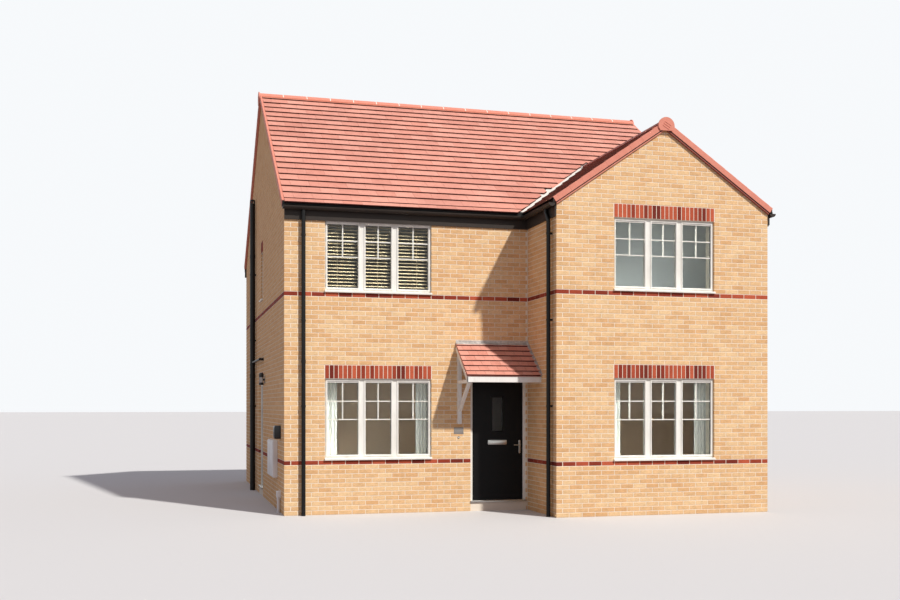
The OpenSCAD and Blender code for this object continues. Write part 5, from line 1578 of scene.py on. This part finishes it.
collars, here = bmesh.new(), at("left", 5.6, 0)
for z in (2.40, 2.66, 4.95):
    peg(collars, 0, STACK_Y, z, z + 0.075, 0.0595, here)
peg(collars, 0, STACK_Y, STACK_TOP, 6.115, 0.0575, here)
for i in range(10):
    turn = math.radians(36 * i)
    peg(collars, CAGE_R * math.cos(turn), STACK_Y + CAGE_R * math.sin(turn), 6.11, 6.185,
        0.007, here, sides=8)
peg(collars, 0, STACK_Y, 6.18, 6.20, 0.0555, here, 0.046)
here, z = at("left", 3.75, 0), 2.72
ball(collars, (0, STACK_Y, z), WASTE_R, here)
stud(collars, 0, z, -0.05, -0.012, WASTE_R, here)
stud(collars, 0, z, 0.0, -0.006, 0.034, here)
for face, along in (("front", 0.305), ("rear", MAIN_WIDE - 0.305)):
    for z in (2.5, 4.93):
        peg(collars, 0, -PIPE_AXIS, z, z + 0.05, PIPE_R + 0.0045, at(face, along, 0))
fix("pipe_collars", collars, black_paint, "black_plastic")

name_plate, bell, button = bmesh.new(), bmesh.new(), bmesh.new()
here = at("front", 2.868 + PLAQUE_WIDE / 2, 1.320)
plate(name_plate, (0, PLAQUE_HIGH / 2), PLAQUE_WIDE, PLAQUE_HIGH, 0.008, 0.0, here, 0.006, 0.002)
for x in (-0.070, 0.070):
    stud(name_plate, x, PLAQUE_HIGH / 2, -0.006, -0.0085, 0.004, here, sides=12)
stud(bell, 0, BELL_Z, 0.0, -0.010, 0.017, here)
stud(button, 0, BELL_Z, -0.008, -0.0165, 0.012, here, 0.010)
fix("bare_plaque", name_plate, plaque_paint, "grey_plaque", "house", "plaque_and_bell")
fix("bell_push", bell, lantern_paint, "black_metal")
fix("bell_button", button, box_paint, "white_box")

# Blind.
# A cream slatted blind inside the upper left window, its slats open and tilted down to
# the outside, on ladder cords between a head rail and a foot rail.
BLIND_Y, SLAT_W, SLAT_PITCH, SLAT_TILT = 0.115, 0.042, 0.058, math.radians(32)
SLATS, RAIL, BLIND_TOP = 18, 0.040, UP_HEAD - UP_SILL - 0.0003
slat_paint = weathered("cream_slat", srgb(204, 184, 150), srgb(188, 166, 132), 0.45, 0.0003, 6.0)
here = at("front", FRONT_WINDOW, UP_SILL)
hang_z, foot_z = BLIND_TOP - RAIL, BLIND_TOP - RAIL - (SLATS + 0.75) * SLAT_PITCH
slat = bmesh.new()
bow = [(-SLAT_W / 2 + SLAT_W * i / 8, 0.003 * (1 - (i / 4 - 1) ** 2)) for i in range(9)]
prism(slat, bow + [(y, z - 0.0014) for y, z in reversed(bow)], 0, 1)
slat_shape = shape_object(mesh_from("slat_shape", slat))
start = here @ Vector((0.004, BLIND_Y + SLAT_W / 2, 0))
rows = [((start.x, start.y, start.z + hang_z - (i + 0.75) * SLAT_PITCH), (SLAT_TILT, 0, 0),
         (WIDE - 0.008, 1, 1), 0.5) for i in range(SLATS)]
slats = grow("blind_slats", plan_of("blind_slats", rows), slat_shape, slat_paint)
settle(slats, "blind_slat", "house", "window_blind")
bpy.data.objects.remove(slat_shape)
rails = bmesh.new()
block(rails, (0.003, BLIND_Y, hang_z), (WIDE - 0.003, BLIND_Y + SLAT_W, BLIND_TOP), 0.002, here)
block(rails, (0.004, BLIND_Y + 0.006, foot_z - 0.009),
      (WIDE - 0.004, BLIND_Y + 0.036, foot_z + 0.009), 0.003, here)
for share in (1 / 8, 1 / 2, 7 / 8):
    for y in (BLIND_Y + 0.004, BLIND_Y + SLAT_W - 0.004):
        peg(rails, share * WIDE, y, foot_z, hang_z, 0.0014, here, sides=6)
fix("blind_rails", rails, slat_paint, "blind_slat")

# Curtains.
# Pale grey cloth gathered on a small white track inside the two lower front windows,
# drawn back to both sides.
CURTAIN_OUT, CURTAIN_IN, CURTAIN_BACK, TRACK_OUT = 0.108, 0.190, 0.3350, 0.11
CURTAIN_DROP, CURTAIN_FOOT = 1.40, -0.100
CURTAIN_HIGH, FOLDS, LEVELS = CURTAIN_DROP + 0.02 - CURTAIN_FOOT, 5, 10
COLUMNS = FOLDS * 12
cloth_paint, tree, shader, place = finish_coat("curtain_cloth")
weave = add(tree, "ShaderNodeTexWave", {"Vector": place, "Scale": 260.0, "Distortion": 0.3},
            bands_direction="Z").outputs["Fac"]
cloth = mix(tree, noise(tree, place, 40.0, 4.0), srgb(238, 240, 234), srgb(250, 250, 246))
feed(tree, shader, {
    "Base Color": mix(tree, math_node(tree, "MULTIPLY", weave, 0.25), cloth, srgb(232, 234, 228)),
    "Roughness": 0.85, "Sheen Weight": 0.3,
})
bump(tree, shader, weave, 0.0005, 0.4)

track = bmesh.new()
for face, along in (("front", FRONT_WINDOW), ("wing", GABLE_WINDOW)):
    here = at(face, along, LOW_SILL)
    block(track, (-TRACK_OUT, 0.3003, 1.425), (WIDE + TRACK_OUT, 0.318, 1.448), 0.002, here)
    for number, (a, b) in enumerate(((-CURTAIN_OUT, CURTAIN_IN + 0.062),
                                     (WIDE - CURTAIN_IN - 0.010, WIDE + CURTAIN_OUT))):
        draw = random.Random(31 * number + (7 if face == "wing" else 0))
        phases = [draw.uniform(-0.4, 0.4) for _ in range(3)]
        cloth_shape, grid, flat_width = bmesh.new(), [], 0.0
        for level in range(LEVELS + 1):
            z, t = CURTAIN_FOOT + CURTAIN_HIGH * level / LEVELS, level / LEVELS
            swing, row = 0.024 - 0.008 * t, []
            for i in range(COLUMNS + 1):
                s = i / COLUMNS
                lean = 0.5 * (1 - t) * math.sin(3 * s + phases[1])
                wave = math.sin(2 * math.pi * FOLDS * s + phases[0] + lean)
                drift = 0.006 * (1 - t) * math.sin(2 * math.pi * s * 2 + phases[2])
                x = min(max(a + (b - a) * s + drift, a), b)
                row.append(Vector((x, CURTAIN_BACK + swing * wave, z)))
            grid.append([cloth_shape.verts.new(here @ p) for p in row])
            flat_width = max(flat_width, sum((q - p).length for p, q in zip(row, row[1:])))
        for lower, upper in zip(grid, grid[1:]):
            for i in range(COLUMNS):
                cloth_shape.faces.new((lower[i], lower[i + 1], upper[i + 1], upper[i]))
        name = f"curtain_{face}_{number + 1}"
        curtain = link(name, mesh_from(name, cloth_shape, 180))
        curtain.data.materials.append(cloth_paint)
        hem = curtain.modifiers.new("thickness", "SOLIDIFY")
        hem.thickness, hem.offset = 0.0012, 0
        settle(curtain, "curtain")
        if (face, number) == ("front", 0):
            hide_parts("curtains")
fix("curtain_tracks", track, white_paint, "white_frame")
